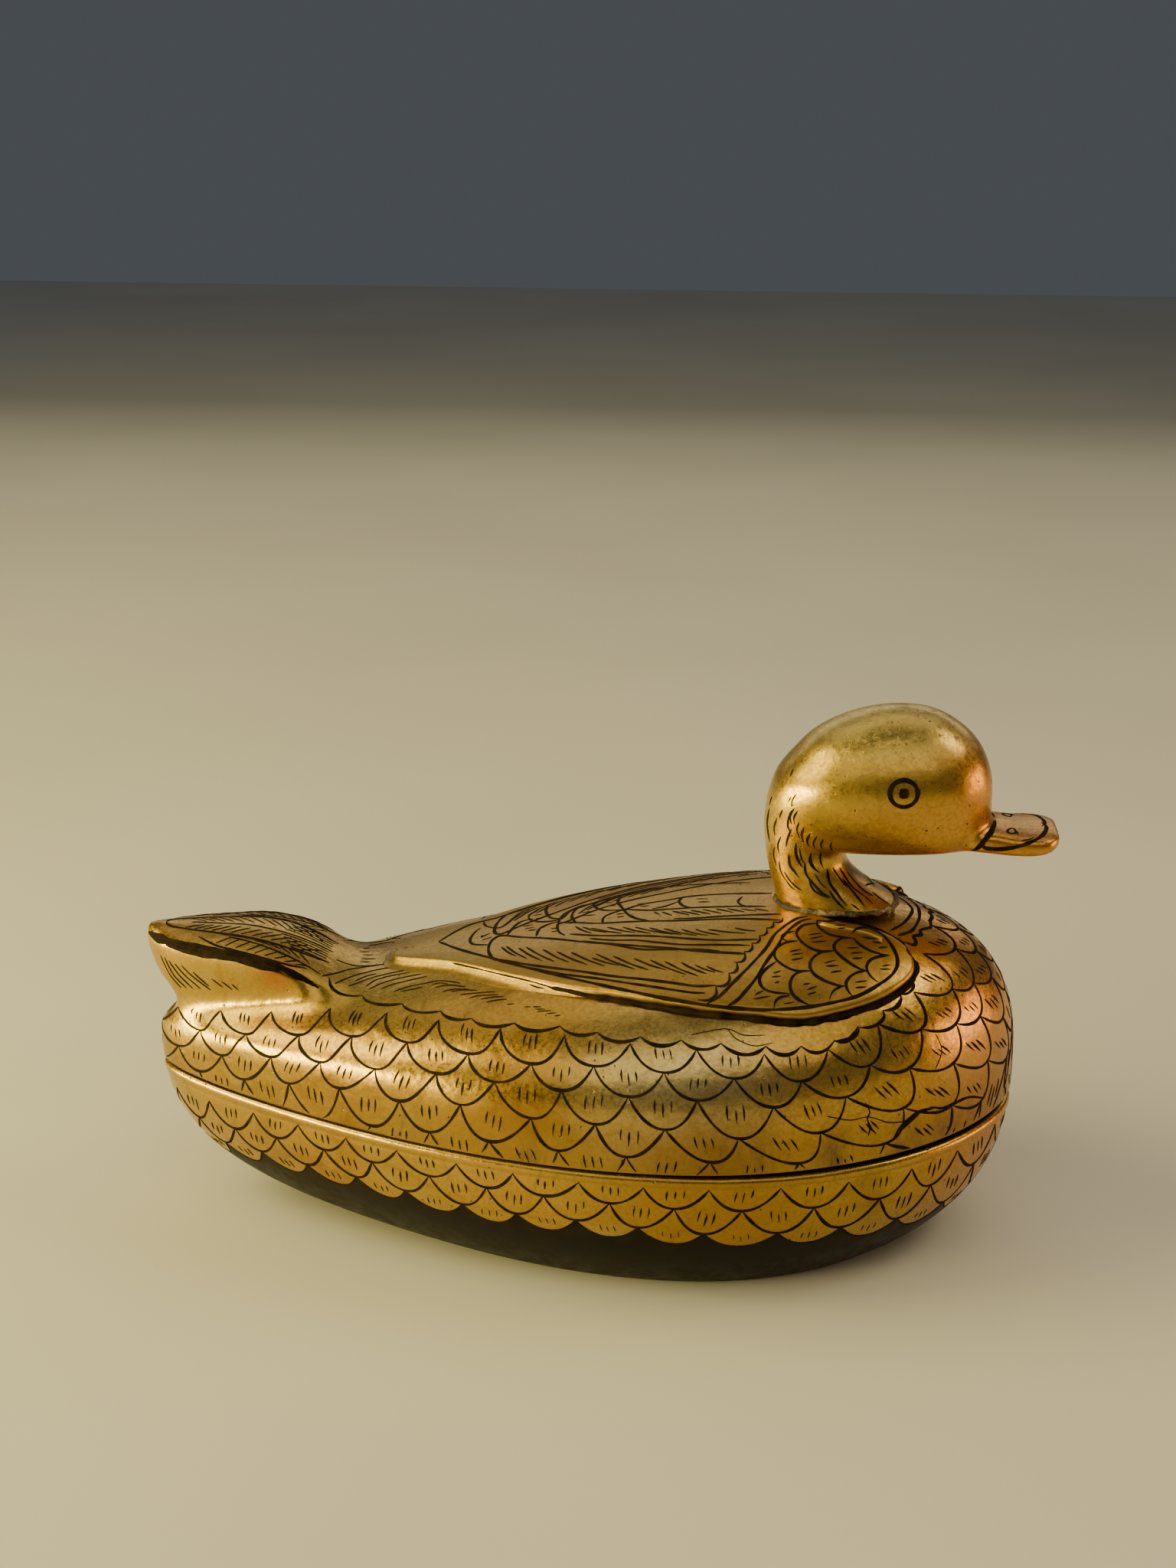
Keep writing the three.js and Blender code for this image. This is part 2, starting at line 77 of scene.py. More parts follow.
HEAD_BACK, HEAD_LENGTH, HEAD_HEIGHT, HEAD_HALF = 14.9, 68.0, 42.4, 23.0
BILL_LENGTH, BILL_HALF, BILL_THICKNESS = 20.0, 14.0, 8.2
NECK_POWER, HEAD_POWER = 2.2, 2.3  # the larger, the squarer the section
EYE_RADIUS, PUPIL_RADIUS = 4.05, 1.6
UNPAINTED_RIM = 0.7  # the painting stops this far above the lid's rim
NARROW_SCALE = 13.0  # a scale narrower than this has room for one stroke only
PHOTO_SIZE = 1536, 2048

# Tints of the gold, with painted shade, painted sheen and painted highlights among them: a place and a radius
# in mm, a colour and its share
# painted shade: the bowl's flank darkened to brown over a wide patch
BOWL_PAINTED_SHADE = [((45, 70, 35), 70, "#8C5F22", 0.65)]
LID_TINTS_AND_PAINTED_LIGHT = [
    # painted sheen high on the flank, and a painted dark reflection low on the flank above the seam
    ((30, 66, 73), 44, "#DCC890", 0.75), ((40, 72, 48), 34, "#5E3E1A", 0.75),
    # a red rub on the tail's edge, and a painted highlight on the breast
    ((-95, 22, 84), 11, "#B04E1C", 0.65), ((112, 30, 70), 22, "#E0B080", 0.6),
]
# painted shade on the side of the head, and an olive tone on the bill
HEAD_TINT_AND_PAINTED_SHADE = [((88, 20, 132), 22, "#9C6E2C", 0.55), ((130, 10, 131), 16, "#7E7038", 0.8)]


# Settings

def linear(hex_colour):
    """sRGB hex to the linear values that Blender's sockets hold."""
    parts = [int(hex_colour[i:i + 2], 16) / 255 for i in (1, 3, 5)]
    return tuple(c / 12.92 if c <= 0.04045 else ((c + 0.055) / 1.055) ** 2.4 for c in parts)


def colour(name, hex_colour, description):
    return FloatVectorProperty(
        name=name, description=description, default=linear(hex_colour), size=3, min=0, max=1, subtype="COLOR"
    )


class DuckBoxColours(bpy.types.PropertyGroup):
    gold: colour("Gold leaf", "#C49F42", "Gold leaf under clear lacquer")
    gold_deep: colour("Deep gold", "#86601F", "Where the lacquer lies thick over the leaf")
    gold_pale: colour("Pale gold", "#D6C074", "Where the leaf is rubbed pale")
    # painted reflection: this orange stands in for warm light reflected on the breast
    breast_painted_reflection: colour("Breast tint", "#D98A3A", "Amber tint of the lacquer on the breast")
    patina: colour("Patina", "#33260F", "Soot and wear near the seam and in the hollows")
    ink: colour("Ink", "#120D07", "Black lacquer of the painted lines")
    black: colour("Black lacquer", "#0D0A07", "Foot, inside and collar")
    putty: colour("Putty", "#2E2922", "Lacquer putty round the neck")
    wood: colour("Bare wood", "#B08A5A", "The peg that holds the head")
    floor: colour("Floor", "#DCD8D0", "Studio floor")


class DuckBoxSizes(bpy.types.PropertyGroup):
    line_width: FloatProperty(
        name="Line width", description="Width of the painted scale lines",
        default=0.95 * MM, min=0.0003, max=0.003, unit="LENGTH",
    )
    scallop_width: FloatProperty(
        name="Scallop width", description="Width of the bold scalloped line on the flank",
        default=1.3 * MM, min=0.0003, max=0.004, unit="LENGTH",
    )
    leaf_patch: FloatProperty(
        name="Leaf patch", description="Size of the tone patches in the gold",
        default=26 * MM, min=0.005, max=0.1, unit="LENGTH",
    )
    lid_voxel: FloatProperty(
        name="Lid voxel", description="Grain at which lid and tail are fused",
        default=1.15 * MM, min=0.0008, max=0.004, unit="LENGTH",
    )
    head_voxel: FloatProperty(
        name="Head voxel", description="Grain at which neck, head and bill are fused",
        default=0.75 * MM, min=0.0005, max=0.003, unit="LENGTH",
    )


def colours():
    return bpy.context.scene.duck_box_colours


def sizes():
    return bpy.context.scene.duck_box_sizes


# Body form

def plan_point(angle, scale=1.0, grow=0.0):
    """Point of the plan outline; the negative angles are on the duck's right, towards the camera."""
    along = np.abs(np.cos(angle))
    ahead = np.cos(angle) >= 0
    length = np.where(ahead, FRONT + grow, -(REAR + grow))
    breast = np.clip(1 - along**2, 0, 1) ** BREAST_POWER
    taper = np.clip(np.cos(np.pi / 2 * along), 0, 1) ** STERN_POWER
    stern = np.sqrt(taper * (taper + STERN_ROUNDNESS) / (1 + STERN_ROUNDNESS))
    width = (HALF_WIDTH + grow) * np.where(ahead, breast, stern) * np.sign(np.sin(angle))
    return WIDEST_X + scale * length * along, scale * width


def back_line(x):
    return BACK_Z + BACK_SLOPE * x


def section_power(along, ahead):
    end = np.where(ahead, FRONT_POWER, STERN_BACK_POWER)
    return FLANK_POWER + (end - FLANK_POWER) * along**2


def back_power(angle):
    return section_power(np.abs(np.cos(angle)), np.cos(angle) > 0)


def keel_scale(level, grow=0.0):
    share = np.clip((WIDEST_Z - level) / (KEEL_DEPTH + grow), 0, 1)
    return (1 - share**KEEL_POWER) ** (1 / KEEL_POWER)


def rim_height(x):
    return SEAM_Z + SEAT_GAP + RIM_BOW * ((x - SEAT_X) / (WIDEST_X + FRONT - SEAT_X)) ** 2


ANGLES = np.linspace(0, np.pi, 6001)
_x, _y = plan_point(ANGLES)
ARCS = np.concatenate([[0], np.cumsum(np.hypot(np.diff(_x), np.diff(np.abs(_y))))])
HALF_ROUND = ARCS[-1]  # breast to stern along the outline


def angle_at(arc):
    """Angle for a distance round the outline from the breast, positive on the camera's side."""
    arc = (np.asarray(arc, float) + HALF_ROUND) % (2 * HALF_ROUND) - HALF_ROUND
    return -np.sign(arc + 1e-12) * np.interp(np.abs(arc), ARCS, ANGLES)


def round_arcs(count):
    """Even distances all round the outline."""
    return (np.arange(count) + 0.5) / count * 2 * HALF_ROUND - HALF_ROUND


def round_angles(count):
    return angle_at(round_arcs(count))


def stack(x, y, z):
    return np.stack([x, y, np.broadcast_to(z, np.shape(x))], axis=-1)


def keel_ring(angle, level, grow=0.0):
    x, y = plan_point(angle, keel_scale(level, grow), grow)
    return stack(x, y, level)


def wall_ring(angle, level, grow=0.0):
    x, y = plan_point(angle, 1.0, grow)
    return stack(x, y, level(x) if callable(level) else level)


def back_ring(angle, climb, grow=0.0):
    power = back_power(angle)
    turn = climb * np.pi / 2
    x, y = plan_point(angle, np.cos(turn) ** (2 / power), grow)
    return stack(x, y, WIDEST_Z + (back_line(x) + grow - WIDEST_Z) * np.sin(turn) ** (2 / power))


def pole(count, x, z):
    return np.tile([x, 0.0, z], (count, 1))


def flank_point(arc, level):
    """Point of the body's skin at a distance round the outline and at a height."""
    angle = angle_at(arc)
    level = np.broadcast_to(np.asarray(level, float), np.shape(angle))
    power = back_power(angle)
    low, high = np.zeros(np.shape(angle)), np.ones(np.shape(angle))
    for _ in range(30):
        middle = (low + high) / 2
        x, _y = plan_point(angle, middle)
        z = WIDEST_Z + (back_line(x) - WIDEST_Z) * (1 - middle**power) ** (1 / power)
        low, high = np.where(z > level, middle, low), np.where(z > level, high, middle)
    scale = np.where(level >= WIDEST_Z, low, keel_scale(level))
    x, y = plan_point(angle, scale)
    return stack(x, y, level)


def back_height(x, y):
    """Height of the back over a plan point."""
    x, y = np.asarray(x, float), np.abs(np.asarray(y, float))
    ahead = x > WIDEST_X
    reach = np.where(ahead, (x - WIDEST_X) / FRONT, (WIDEST_X - x) / REAR)
    low, high = np.maximum(reach, 1e-6), np.full(np.shape(reach), 3.0)
    for _ in range(36):
        middle = (low + high) / 2
        along = np.clip(reach / middle, 0, 1)
        angle = np.where(ahead, np.arccos(along), np.pi - np.arccos(along))
        inside = y <= middle * np.abs(plan_point(angle)[1])
        low, high = np.where(inside, low, middle), np.where(inside, middle, high)
    scale = np.clip((low + high) / 2, 1e-6, 1)
    power = section_power(np.clip(reach / scale, 0, 1), ahead)
    return WIDEST_Z + (back_line(x) - WIDEST_Z) * (1 - scale**power) ** (1 / power)


def on_back(x, y, rise=0.0):
    """Points over the back, lifted by rise along its normal."""
    x, y = np.asarray(x, float), np.asarray(y, float)
    d = 0.5
    z = back_height(x, y)
    slope_x = (back_height(x + d, y) - back_height(x - d, y)) / (2 * d)
    slope_y = (back_height(x, y + d) - back_height(x, y - d)) / (2 * d)
    normal = np.stack([-slope_x, -slope_y, np.ones_like(z)], axis=-1)
    normal /= np.linalg.norm(normal, axis=-1, keepdims=True)
    return np.stack([x, y, z], axis=-1) + normal * np.asarray(rise)[..., None]


SEAT_Z = float(back_height(NECK_X, 0.0)) + MANTLE_RISE


# The camera, found from the photograph's perspective
CAMERA_AT = (51.7, -680.7, 353.06)
CAMERA_AIM = (-0.0744, 0.9517, -0.2980)
CAMERA_ROLL = 0.37  # degrees
CAMERA_LENS = 54.07  # mm on a 36 mm frame


def camera_matrix():
    aim = Vector(CAMERA_AIM).normalized()
    turn = aim.to_track_quat("-Z", "Y").to_matrix().to_4x4()
    roll = Matrix.Rotation(math.radians(CAMERA_ROLL), 4, "Z")
    return Matrix.Translation(Vector(CAMERA_AT) * MM) @ turn @ roll


def sight(px, py):
    """Ray from the camera through a place in the photograph's frame."""
    width, height = PHOTO_SIZE
    at = camera_matrix()
    focal = CAMERA_LENS / 36 * height
    direction = at.to_3x3() @ Vector(((px - width / 2) / focal, -(py - height / 2) / focal, -1)).normalized()
    return at.translation, direction


def seen_on(trees, places):
    """Points in mm where rays through places of the photograph's frame first meet a surface."""
    path = []
    for px, py in places:
        hits = [hit for hit in (tree.ray_cast(*sight(px, py)) for tree in trees) if hit[0] is not None]
        if hits:
            path.append(np.array(min(hits, key=lambda hit: hit[3])[0]) / MM - SHIFT)
    return np.array(path)


# Curves

def between_knots(rows, t):
    """Catmull-Rom curves between the rows, each at the shares t."""
    rows = np.asarray(rows, float)
    ends = np.vstack([2 * rows[0] - rows[1], rows, 2 * rows[-1] - rows[-2]])
    t = np.asarray(t)[:, None]
    for a, b, c, d in zip(ends, ends[1:], ends[2:], ends[3:]):
        bend, twist = 2 * a - 5 * b + 4 * c - d, 3 * b - a - 3 * c + d
        yield 0.5 * (2 * b + (c - a) * t + bend * t**2 + twist * t**3)


def smooth_path(points, step):
    """Catmull-Rom curve through the points, resampled at an even step."""
    points = np.asarray(points, float)
    if len(points) == 2:
        dense = points[0] + np.linspace(0, 1, 40)[:, None] * (points[1] - points[0])
    else:
        dense = np.vstack([*between_knots(points, np.linspace(0, 1, 24, endpoint=False)), points[-1:]])
    length = np.concatenate([[0], np.cumsum(np.linalg.norm(np.diff(dense, axis=0), axis=1))])
    count = max(int(round(length[-1] / step)), 2) + 1
    at = np.linspace(0, length[-1], count)
    return np.stack([np.interp(at, length, dense[:, k]) for k in range(dense.shape[1])], axis=1)


def table_curve(rows, steps):
    """The rows of a table of levels, smoothed by extra rows between them."""
    return np.vstack([*between_knots(rows, np.arange(steps) / steps), rows[-1]])


# Modelling helpers

def deselect():
    if bpy.context.object and bpy.context.object.mode != "OBJECT":
        bpy.ops.object.mode_set(mode="OBJECT")
    bpy.ops.object.select_all(action="DESELECT")


def pick(ob, *others):
    deselect()
    for o in (ob, *others):
        o.select_set(True)
    bpy.context.view_layer.objects.active = ob


def values_of(items, key):
    """A property of all vertices or faces, as rows of three."""
    flat = np.empty(len(items) * 3)
    items.foreach_get(key, flat)
    return flat.reshape(-1, 3)


def capped(rings):
    """The rings with a pole at the middle of either end."""
    first, last = (np.tile(ring.mean(axis=0), (len(ring), 1)) for ring in (rings[0], rings[-1]))
    return [first, *rings, last]


def skin(name, rings, slots=None):
    """Closed skin through rings of points in mm: a grid is wrapped round them, and its seam and poles merge.
    slots gives the material slot of each band between two rings."""
    rings = np.asarray(rings)
    rows, count = rings.shape[:2]
    deselect()
    bpy.ops.mesh.primitive_grid_add(x_subdivisions=count, y_subdivisions=rows - 1, size=2.0)
    ob = bpy.context.object
    ob.name = ob.data.name = name
    at = values_of(ob.data.vertices, "co")
    if slots is not None:
        band = ((values_of(ob.data.polygons, "center")[:, 1] + 1) / 2 * (rows - 1)).astype(int)
        ob.data.polygons.foreach_set("material_index", np.asarray(slots, np.int32)[band])
    across = np.rint((at[:, 0] + 1) / 2 * count).astype(int) % count
    along = np.rint((at[:, 1] + 1) / 2 * (rows - 1)).astype(int)
    ob.data.vertices.foreach_set("co", ((rings[along, across] + SHIFT) * MM).ravel())
    ob.data.update()
    bpy.ops.object.mode_set(mode="EDIT")
    bpy.ops.mesh.select_all(action="SELECT")
    bpy.ops.mesh.remove_doubles(threshold=2e-6)
    bpy.ops.mesh.normals_make_consistent(inside=False)
    bpy.ops.object.mode_set(mode="OBJECT")
    bpy.ops.object.shade_smooth()
    return ob


def apply_modifier(ob, kind, **settings):
    pick(ob)
    modifier = ob.modifiers.new(kind.title(), kind)
    for key, value in settings.items():
        setattr(modifier, key, value)
    bpy.ops.object.modifier_apply(modifier=modifier.name)


def surface_tree(ob):
    return BVHTree.FromObject(ob, bpy.context.evaluated_depsgraph_get())


def fuse(name, parts, voxel, fillet, passes):
    """Closed skins joined into one, with a fillet of about that width (mm) where they meet."""
    trees = [surface_tree(p) for p in parts]
    pick(*parts)
    bpy.ops.object.join()
    ob = bpy.context.object
    ob.name = ob.data.name = name
    apply_modifier(ob, "REMESH", mode="VOXEL", voxel_size=voxel, adaptivity=0.0)
    apply_modifier(ob, "SMOOTH", factor=0.5, iterations=6)
    group = ob.vertex_groups.new(name="join")
    for v in ob.data.vertices:
        near = sorted(t.find_nearest(v.co)[3] for t in trees)
        weight = 1 - near[1] / (fillet * MM)
        if weight > 0:
            group.add([v.index], min(weight * 1.5, 1.0), "REPLACE")
    apply_modifier(ob, "SMOOTH", factor=0.8, iterations=passes, vertex_group="join")
    ob.vertex_groups.clear()
    return ob


def cut(ob, cutter):
    apply_modifier(ob, "BOOLEAN", operation="DIFFERENCE", solver="EXACT", object=cutter)
    bpy.data.objects.remove(cutter, do_unlink=True)


def smooth_by_angle(ob, degrees):
    pick(ob)
    bpy.ops.object.shade_smooth_by_angle(angle=math.radians(degrees))


def finish_piece(ob, materials, body, replaced=()):
    for material in materials:
        ob.data.materials.append(material)
    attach(ob, body)
    for node_name in replaced:
        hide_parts(node_name)


class Brush:
    """Brush strokes, each a thin closed slab that follows the surface it is painted on."""

    LIFT = 0.11  # mm, height of the dried lacquer
    ROOT = 0.35  # mm, depth to which a stroke is sunk
    TOP = 0.86  # width of a stroke's top as a share of its root's

    def __init__(self, target, seed):
        self.trees = [surface_tree(target)]
        self.points, self.faces = [], []
        self.random = random.Random(seed)

    def settle(self, path):
        """Nearest points of the surface, with normals evened along the path."""
        places, normals = [], []
        for p in (np.asarray(path) + SHIFT) * MM:
            hits = [t.find_nearest(Vector(p)) for t in self.trees]
            hit = min(hits, key=lambda h: h[3])
            places.append(hit[0])
            normals.append(hit[1])
        places = np.array(places) / MM - SHIFT
        padded = np.vstack([normals[:1], normals[:1], normals, normals[-1:], normals[-1:]])
        normals = sum(padded[k:k + len(normals)] for k in range(5))
        return places, normals / np.linalg.norm(normals, axis=1, keepdims=True)

    def stroke(self, path, width, ends="brush", step=1.1, keep=None):
        """path in mm; ends is brush, even or round; keep is a test that a point has to pass."""
        path, normals = self.settle(smooth_path(path, step))
        if keep is not None:
            kept = keep(path)
            edges = np.flatnonzero(np.diff(np.concatenate([[False], kept, [False]]).astype(int)))
            runs = list(zip(edges[::2], edges[1::2]))
        else:
            runs = [(0, len(path))]
        for a, b in runs:
            if b - a >= 3:
                self.slab(path[a:b], normals[a:b], width, ends)

    def pair(self, path, width, step):
        """The stroke, and its mirror image on the far side."""
        self.stroke(path, width, step=step)
        self.stroke(mirrored(path), width, step=step)

    def slab(self, path, normals, width, ends):
        along = np.gradient(path, axis=0)
        along /= np.linalg.norm(along, axis=1, keepdims=True) + 1e-9
        side = np.cross(normals, along)
        side /= np.linalg.norm(side, axis=1, keepdims=True) + 1e-9
        t = np.linspace(0, 1, len(path))
        length = np.linalg.norm(np.diff(path, axis=0), axis=1).sum()
        if ends == "round":
            share = np.sqrt(np.clip(1 - (2 * t - 1) ** 2, 0.01, 1))
        elif ends == "even":
            share = np.ones(len(path))
        else:
            run_in = min(0.45, 2.2 * width / length)
            share = np.clip(np.minimum(t / run_in, (1 - t) / (run_in * 1.6)), 0, 1) ** 0.6
            share = np.maximum(share, 0.22)
        phase = self.random.uniform(0, 6.3)
        # the width wavers over 20 mm and over 7 mm, as a loaded brush does
        waver = 0.16 * np.sin(phase + length * t / 3.1)
        share = share * (1 + waver + 0.08 * np.sin(2 * phase + length * t / 1.1))
        half = (share * width / 2)[:, None]
        top = path + normals * self.LIFT
        root = path - normals * self.ROOT
        start = len(self.points)
        for low_left, high_left, high_right, low_right in zip(
            root + side * half, top + side * half * self.TOP, top - side * half * self.TOP, root - side * half
        ):
            self.points += [low_left, high_left, high_right, low_right]
        for k in range(len(path) - 1):
            a, b = start + 4 * k, start + 4 * k + 4
            self.faces += [(a + i, a + (i + 1) % 4, b + (i + 1) % 4, b + i) for i in range(4)]
        last = start + 4 * (len(path) - 1)
        self.faces += [(start + 3, start + 2, start + 1, start), (last, last + 1, last + 2, last + 3)]

    def piece(self, name):
        """The strokes as one mesh. Slabs that bend with a carved surface have no primitive."""
        mesh = bpy.data.meshes.new(name)
        mesh.from_pydata([tuple((p + SHIFT) * MM) for p in self.points], [], self.faces)
        mesh.update()
        ob = bpy.data.objects.new(name, mesh)
        bpy.context.collection.objects.link(ob)
        pick(ob)
        bpy.ops.object.mode_set(mode="EDIT")
        bpy.ops.mesh.select_all(action="SELECT")
        bpy.ops.mesh.normals_make_consistent(inside=False)
        bpy.ops.object.mode_set(mode="OBJECT")
        return ob


# Materials

# Settings of the nodes that come often
TIMES = {"operation": "MULTIPLY", "use_clamp": True}
PLUS = {"operation": "ADD", "use_clamp": True}
SMOOTH = {"interpolation_type": "SMOOTHSTEP"}
COLOURED = {"data_type": "RGBA"}
SHARE, UNDER, OVER, MIXED = 0, 6, 7, 2  # sockets of the Mix node when it mixes colours


class Finish:
    """A material under way: its node tree, and object coordinates to place the patterns by."""

    def __init__(self, name):
        self.material = bpy.data.materials.get(name)
        self.made_before = self.material is not None
        if self.made_before:
            return
        self.material = bpy.data.materials.new(name)
        self.material.use_nodes = True
        self.tree = self.material.node_tree
        self.place = self.node("TexCoord")["Object"]

    def node(self, kind, inputs=(), stops=(), **settings):
        """Adds a node with its settings, a ramp's stops and its links or values, and gives its outputs."""
        made = self.tree.nodes.new("ShaderNode" + kind)
        for key, value in settings.items():
            setattr(made, key, value)
        for k, (position, tone) in enumerate(stops):
            elements = made.color_ramp.elements
            element = elements[k] if k < len(elements) else elements.new(position)
            element.position = position
            element.color = (*tone, 1)
        self.connect(made, inputs)
        return made.outputs

    def connect(self, made, inputs):
        """The inputs are values or sockets, in the order of the node's sockets or by name."""
        for key, value in inputs.items() if isinstance(inputs, dict) else enumerate(inputs):
            socket = made.inputs[key]
            if isinstance(value, bpy.types.NodeSocket):
                self.tree.links.new(value, socket)
            else:
                socket.default_value = (*value, 1) if socket.type == "RGBA" else value

    def shade(self, inputs):
        self.connect(self.tree.nodes["Principled BSDF"], inputs)
        return self.material


def gilt_lacquer(name, olive=0.0, worn=0.5, seam_soot_and_shade=False, rough=0.3, crown_wear_and_sheen=False, tints_and_painted_light=()):
    """Gold leaf on carved wood, burnished and lacquered: a warm mirror that wavers with the carving,
    tone patches the size of a leaf, pinholes that show the dark ground, soot by the seam, and a painted
    orange reflection on the breast. Where chosen, painted shade darkens the lid towards the seam and a
    painted highlight lightens the crown.
    The tint patches, with painted shade, sheen and highlights among them, come on both sides of the body."""
    f = Finish(name)
    if f.made_before:
        return f.material
    add, place = f.node, f.place
    c = colours()
    gold, deep, pale = tuple(c.gold), tuple(c.gold_deep), tuple(c.gold_pale)
    x, y, z = add("SeparateXYZ", [place])
    scale = 1 / sizes().leaf_patch
    leaf = {"Vector": place, "Scale": scale, "Detail": 3.0, "Roughness": 0.55, "Distortion": 0.6}
    patches = add("TexNoise", leaf)["Fac"]
    tone = add("ValToRGB", [patches], [(0.2, deep), (0.44, gold), (0.62, gold), (0.85, pale)])[0]
    # the lacquer is thicker and browner in some places, greener in others, over about 60 mm
    drift = add("TexNoise", {"Vector": place, "Scale": 16.0, "Detail": 1.0})["Fac"]
    stops = [(0.36, linear("#B9762C")), (0.5, linear("#C99D48")), (0.64, linear("#8E8632"))]
    layers = [(0.22, add("ValToRGB", [drift], stops)[0])]
    if olive:
        layers.append((olive, linear("#8A7440")))
    aside = add("Math", [y], operation="ABSOLUTE")[0]
    both_sides = add("CombineXYZ", [x, aside, z])[0]
    # patches of colour, the same on both sides of the body: painted shade, painted sheen, painted highlights
    # and a red rub
    for centre, radius, tint, share in tints_and_painted_light:
        centre = tuple(v * MM for v in centre)
        away = add("VectorMath", [both_sides, centre], operation="DISTANCE")["Value"]
        near = add("MapRange", [away, radius * MM, 0, 0, 1], **SMOOTH)[0]
        patchy = add("MapRange", [patches, 0.2, 0.55, 0.5, 1], **SMOOTH)[0]
        here = add("Math", [near, patchy], **TIMES)[0]
        layers.append((add("Math", [here, share], **TIMES)[0], linear(tint)))
    # leaf edges overlap in thin darker seams about 34 mm apart
    warp = add("TexNoise", {"Vector": place, "Scale": 60.0, "Detail": 2.0})["Color"]
    warp = add("VectorMath", {0: warp, "Scale": 0.006}, operation="SCALE")[0]
    warped = add("VectorMath", [place, warp], operation="ADD")[0]
    joints = {"Vector": warped, "Scale": 30.0, "Randomness": 0.7}
    joints = add("TexVoronoi", joints, feature="DISTANCE_TO_EDGE")["Distance"]
    layers.append((add("MapRange", [joints, 0, 0.035, 0.22, 0], **SMOOTH)[0], deep))
    # painted reflection: an orange tone laid over the breast, in patches
    breast = add("MapRange", [x, 0.082, 0.124, 0, 1], **SMOOTH)[0]
    patchy = add("MapRange", [patches, 0.25, 0.6, 0.45, 1], **SMOOTH)[0]
    breast = add("Math", [breast, patchy], **TIMES)[0]
    layers.append((add("Math", [breast, 0.55], **TIMES)[0], tuple(c.breast_painted_reflection)))
    # fine mottling of the ground through the leaf, about 1 mm, drawn coarser than it is so that it shows
    grain = add("TexNoise", {"Vector": place, "Scale": 850.0, "Detail": 4.0, "Roughness": 0.65})["Fac"]
    layers.append((add("MapRange", [grain, 0.42, 0.7, 0, 0.38], **SMOOTH)[0], deep))
    # pinholes and rubs down to the dark ground
    cells = add("TexVoronoi", {"Vector": place, "Scale": 330.0, "Randomness": 1.0})
    chance = add("SeparateColor", [cells["Color"]])[0]
    small = add("MapRange", [cells["Distance"], 0.16, 0.1, 0, 1], **SMOOTH)[0]
    few = add("MapRange", [chance, 0.8, 0.82, 0, 1], **SMOOTH)[0]
    pinholes = add("Math", [small, few], **TIMES)[0]
    rubs = add("TexNoise", {"Vector": place, "Scale": 210.0, "Detail": 6.0, "Roughness": 0.8})["Fac"]
    rubs = add("MapRange", [rubs, 0.6, 0.68, 0, 1], **SMOOTH)[0]
    zones = add("TexNoise", {"Vector": place, "Scale": 17.0, "Detail": 2.0})["Fac"]
    zones = add("MapRange", [zones, 0.5, 0.66, 0, 1], **SMOOTH)[0]
    rubs = add("Math", [rubs, zones], **TIMES)[0]
    marks = [add("Math", [v, share], **TIMES)[0] for v, share in ((pinholes, 0.9), (rubs, worn))]
    marks = add("Math", marks, **PLUS)[0]
    if crown_wear_and_sheen:
        # dark worn flecks on the crown; the crown is also painted paler, as a painted highlight
        high = add("MapRange", [z, 0.151, 0.164, 0, 1], **SMOOTH)[0]
        flecks = add("TexNoise", {"Vector": place, "Scale": 260.0, "Detail": 7.0, "Roughness": 0.85})["Fac"]
        flecks = add("MapRange", [flecks, 0.54, 0.62, 0, 0.85], **SMOOTH)[0]
        marks = add("Math", [marks, add("Math", [high, flecks], **TIMES)[0]], **PLUS)[0]
        layers.append((add("Math", [high, 0.5], **TIMES)[0], pale))
    if seam_soot_and_shade:
        # soot streaks near the seam
        streaks = add("Mapping", {"Vector": place, "Scale": (60.0, 60.0, 18.0)})[0]
        soot = add("TexNoise", {"Vector": streaks, "Scale": 1.0, "Detail": 6.0, "Roughness": 0.75})["Fac"]
        soot = add("MapRange", [soot, 0.42, 0.72, 0, 1], **SMOOTH)[0]
        soot = add("Math", [add("MapRange", [z, 0.066, 0.046, 0, 1], **SMOOTH)[0], soot], **TIMES)[0]
        marks = add("Math", [marks, add("Math", [soot, 0.75], **TIMES)[0]], **PLUS)[0]
        # painted shade: the lid's gold darkened towards the seam, from 75 mm down to 50 mm
        painted_low_shade = add("MapRange", [z, 0.075, 0.05, 0, 1], **SMOOTH)[0]
        layers.append((add("Math", [painted_low_shade, 0.5], **TIMES)[0], deep))
    layers.append((marks, tuple(c.patina)))
    for share, over in layers:
        tone = add("Mix", {SHARE: share, UNDER: tone, OVER: over}, **COLOURED)[MIXED]
    bare = add("Math", [marks, 0.85], **TIMES)[0]
    metal = add("Math", [0.93, bare], operation="SUBTRACT", use_clamp=True)[0]
    gloss = add("MapRange", [grain, 0.3, 0.75, rough - 0.06, rough + 0.12], **SMOOTH)[0]
    gloss = add("Math", [gloss, add("Math", [marks, 0.3], **TIMES)[0]], **PLUS)[0]
    # hand carving waves the mirror over 9 mm, the lacquer's skin over 2 mm
    carving = add("TexNoise", {"Vector": place, "Scale": 105.0, "Detail": 2.0})["Fac"]
    film = add("TexNoise", {"Vector": place, "Scale": 480.0, "Detail": 3.0})["Fac"]
    relief = add("Bump", {"Height": carving, "Strength": 0.45, "Distance": 0.0009})[0]
    relief = add("Bump", {"Height": film, "Strength": 0.35, "Distance": 0.00025, "Normal": relief})[0]
    worn_relief = {"Height": marks, "Strength": 0.5, "Distance": 0.0002, "Normal": relief}
    return f.shade({
        "Base Color": tone, "Metallic": metal, "Roughness": gloss,
        "Coat Weight": 0.15, "Coat Roughness": 0.18,
        "Normal": add("Bump", worn_relief, invert=True)[0],
    })


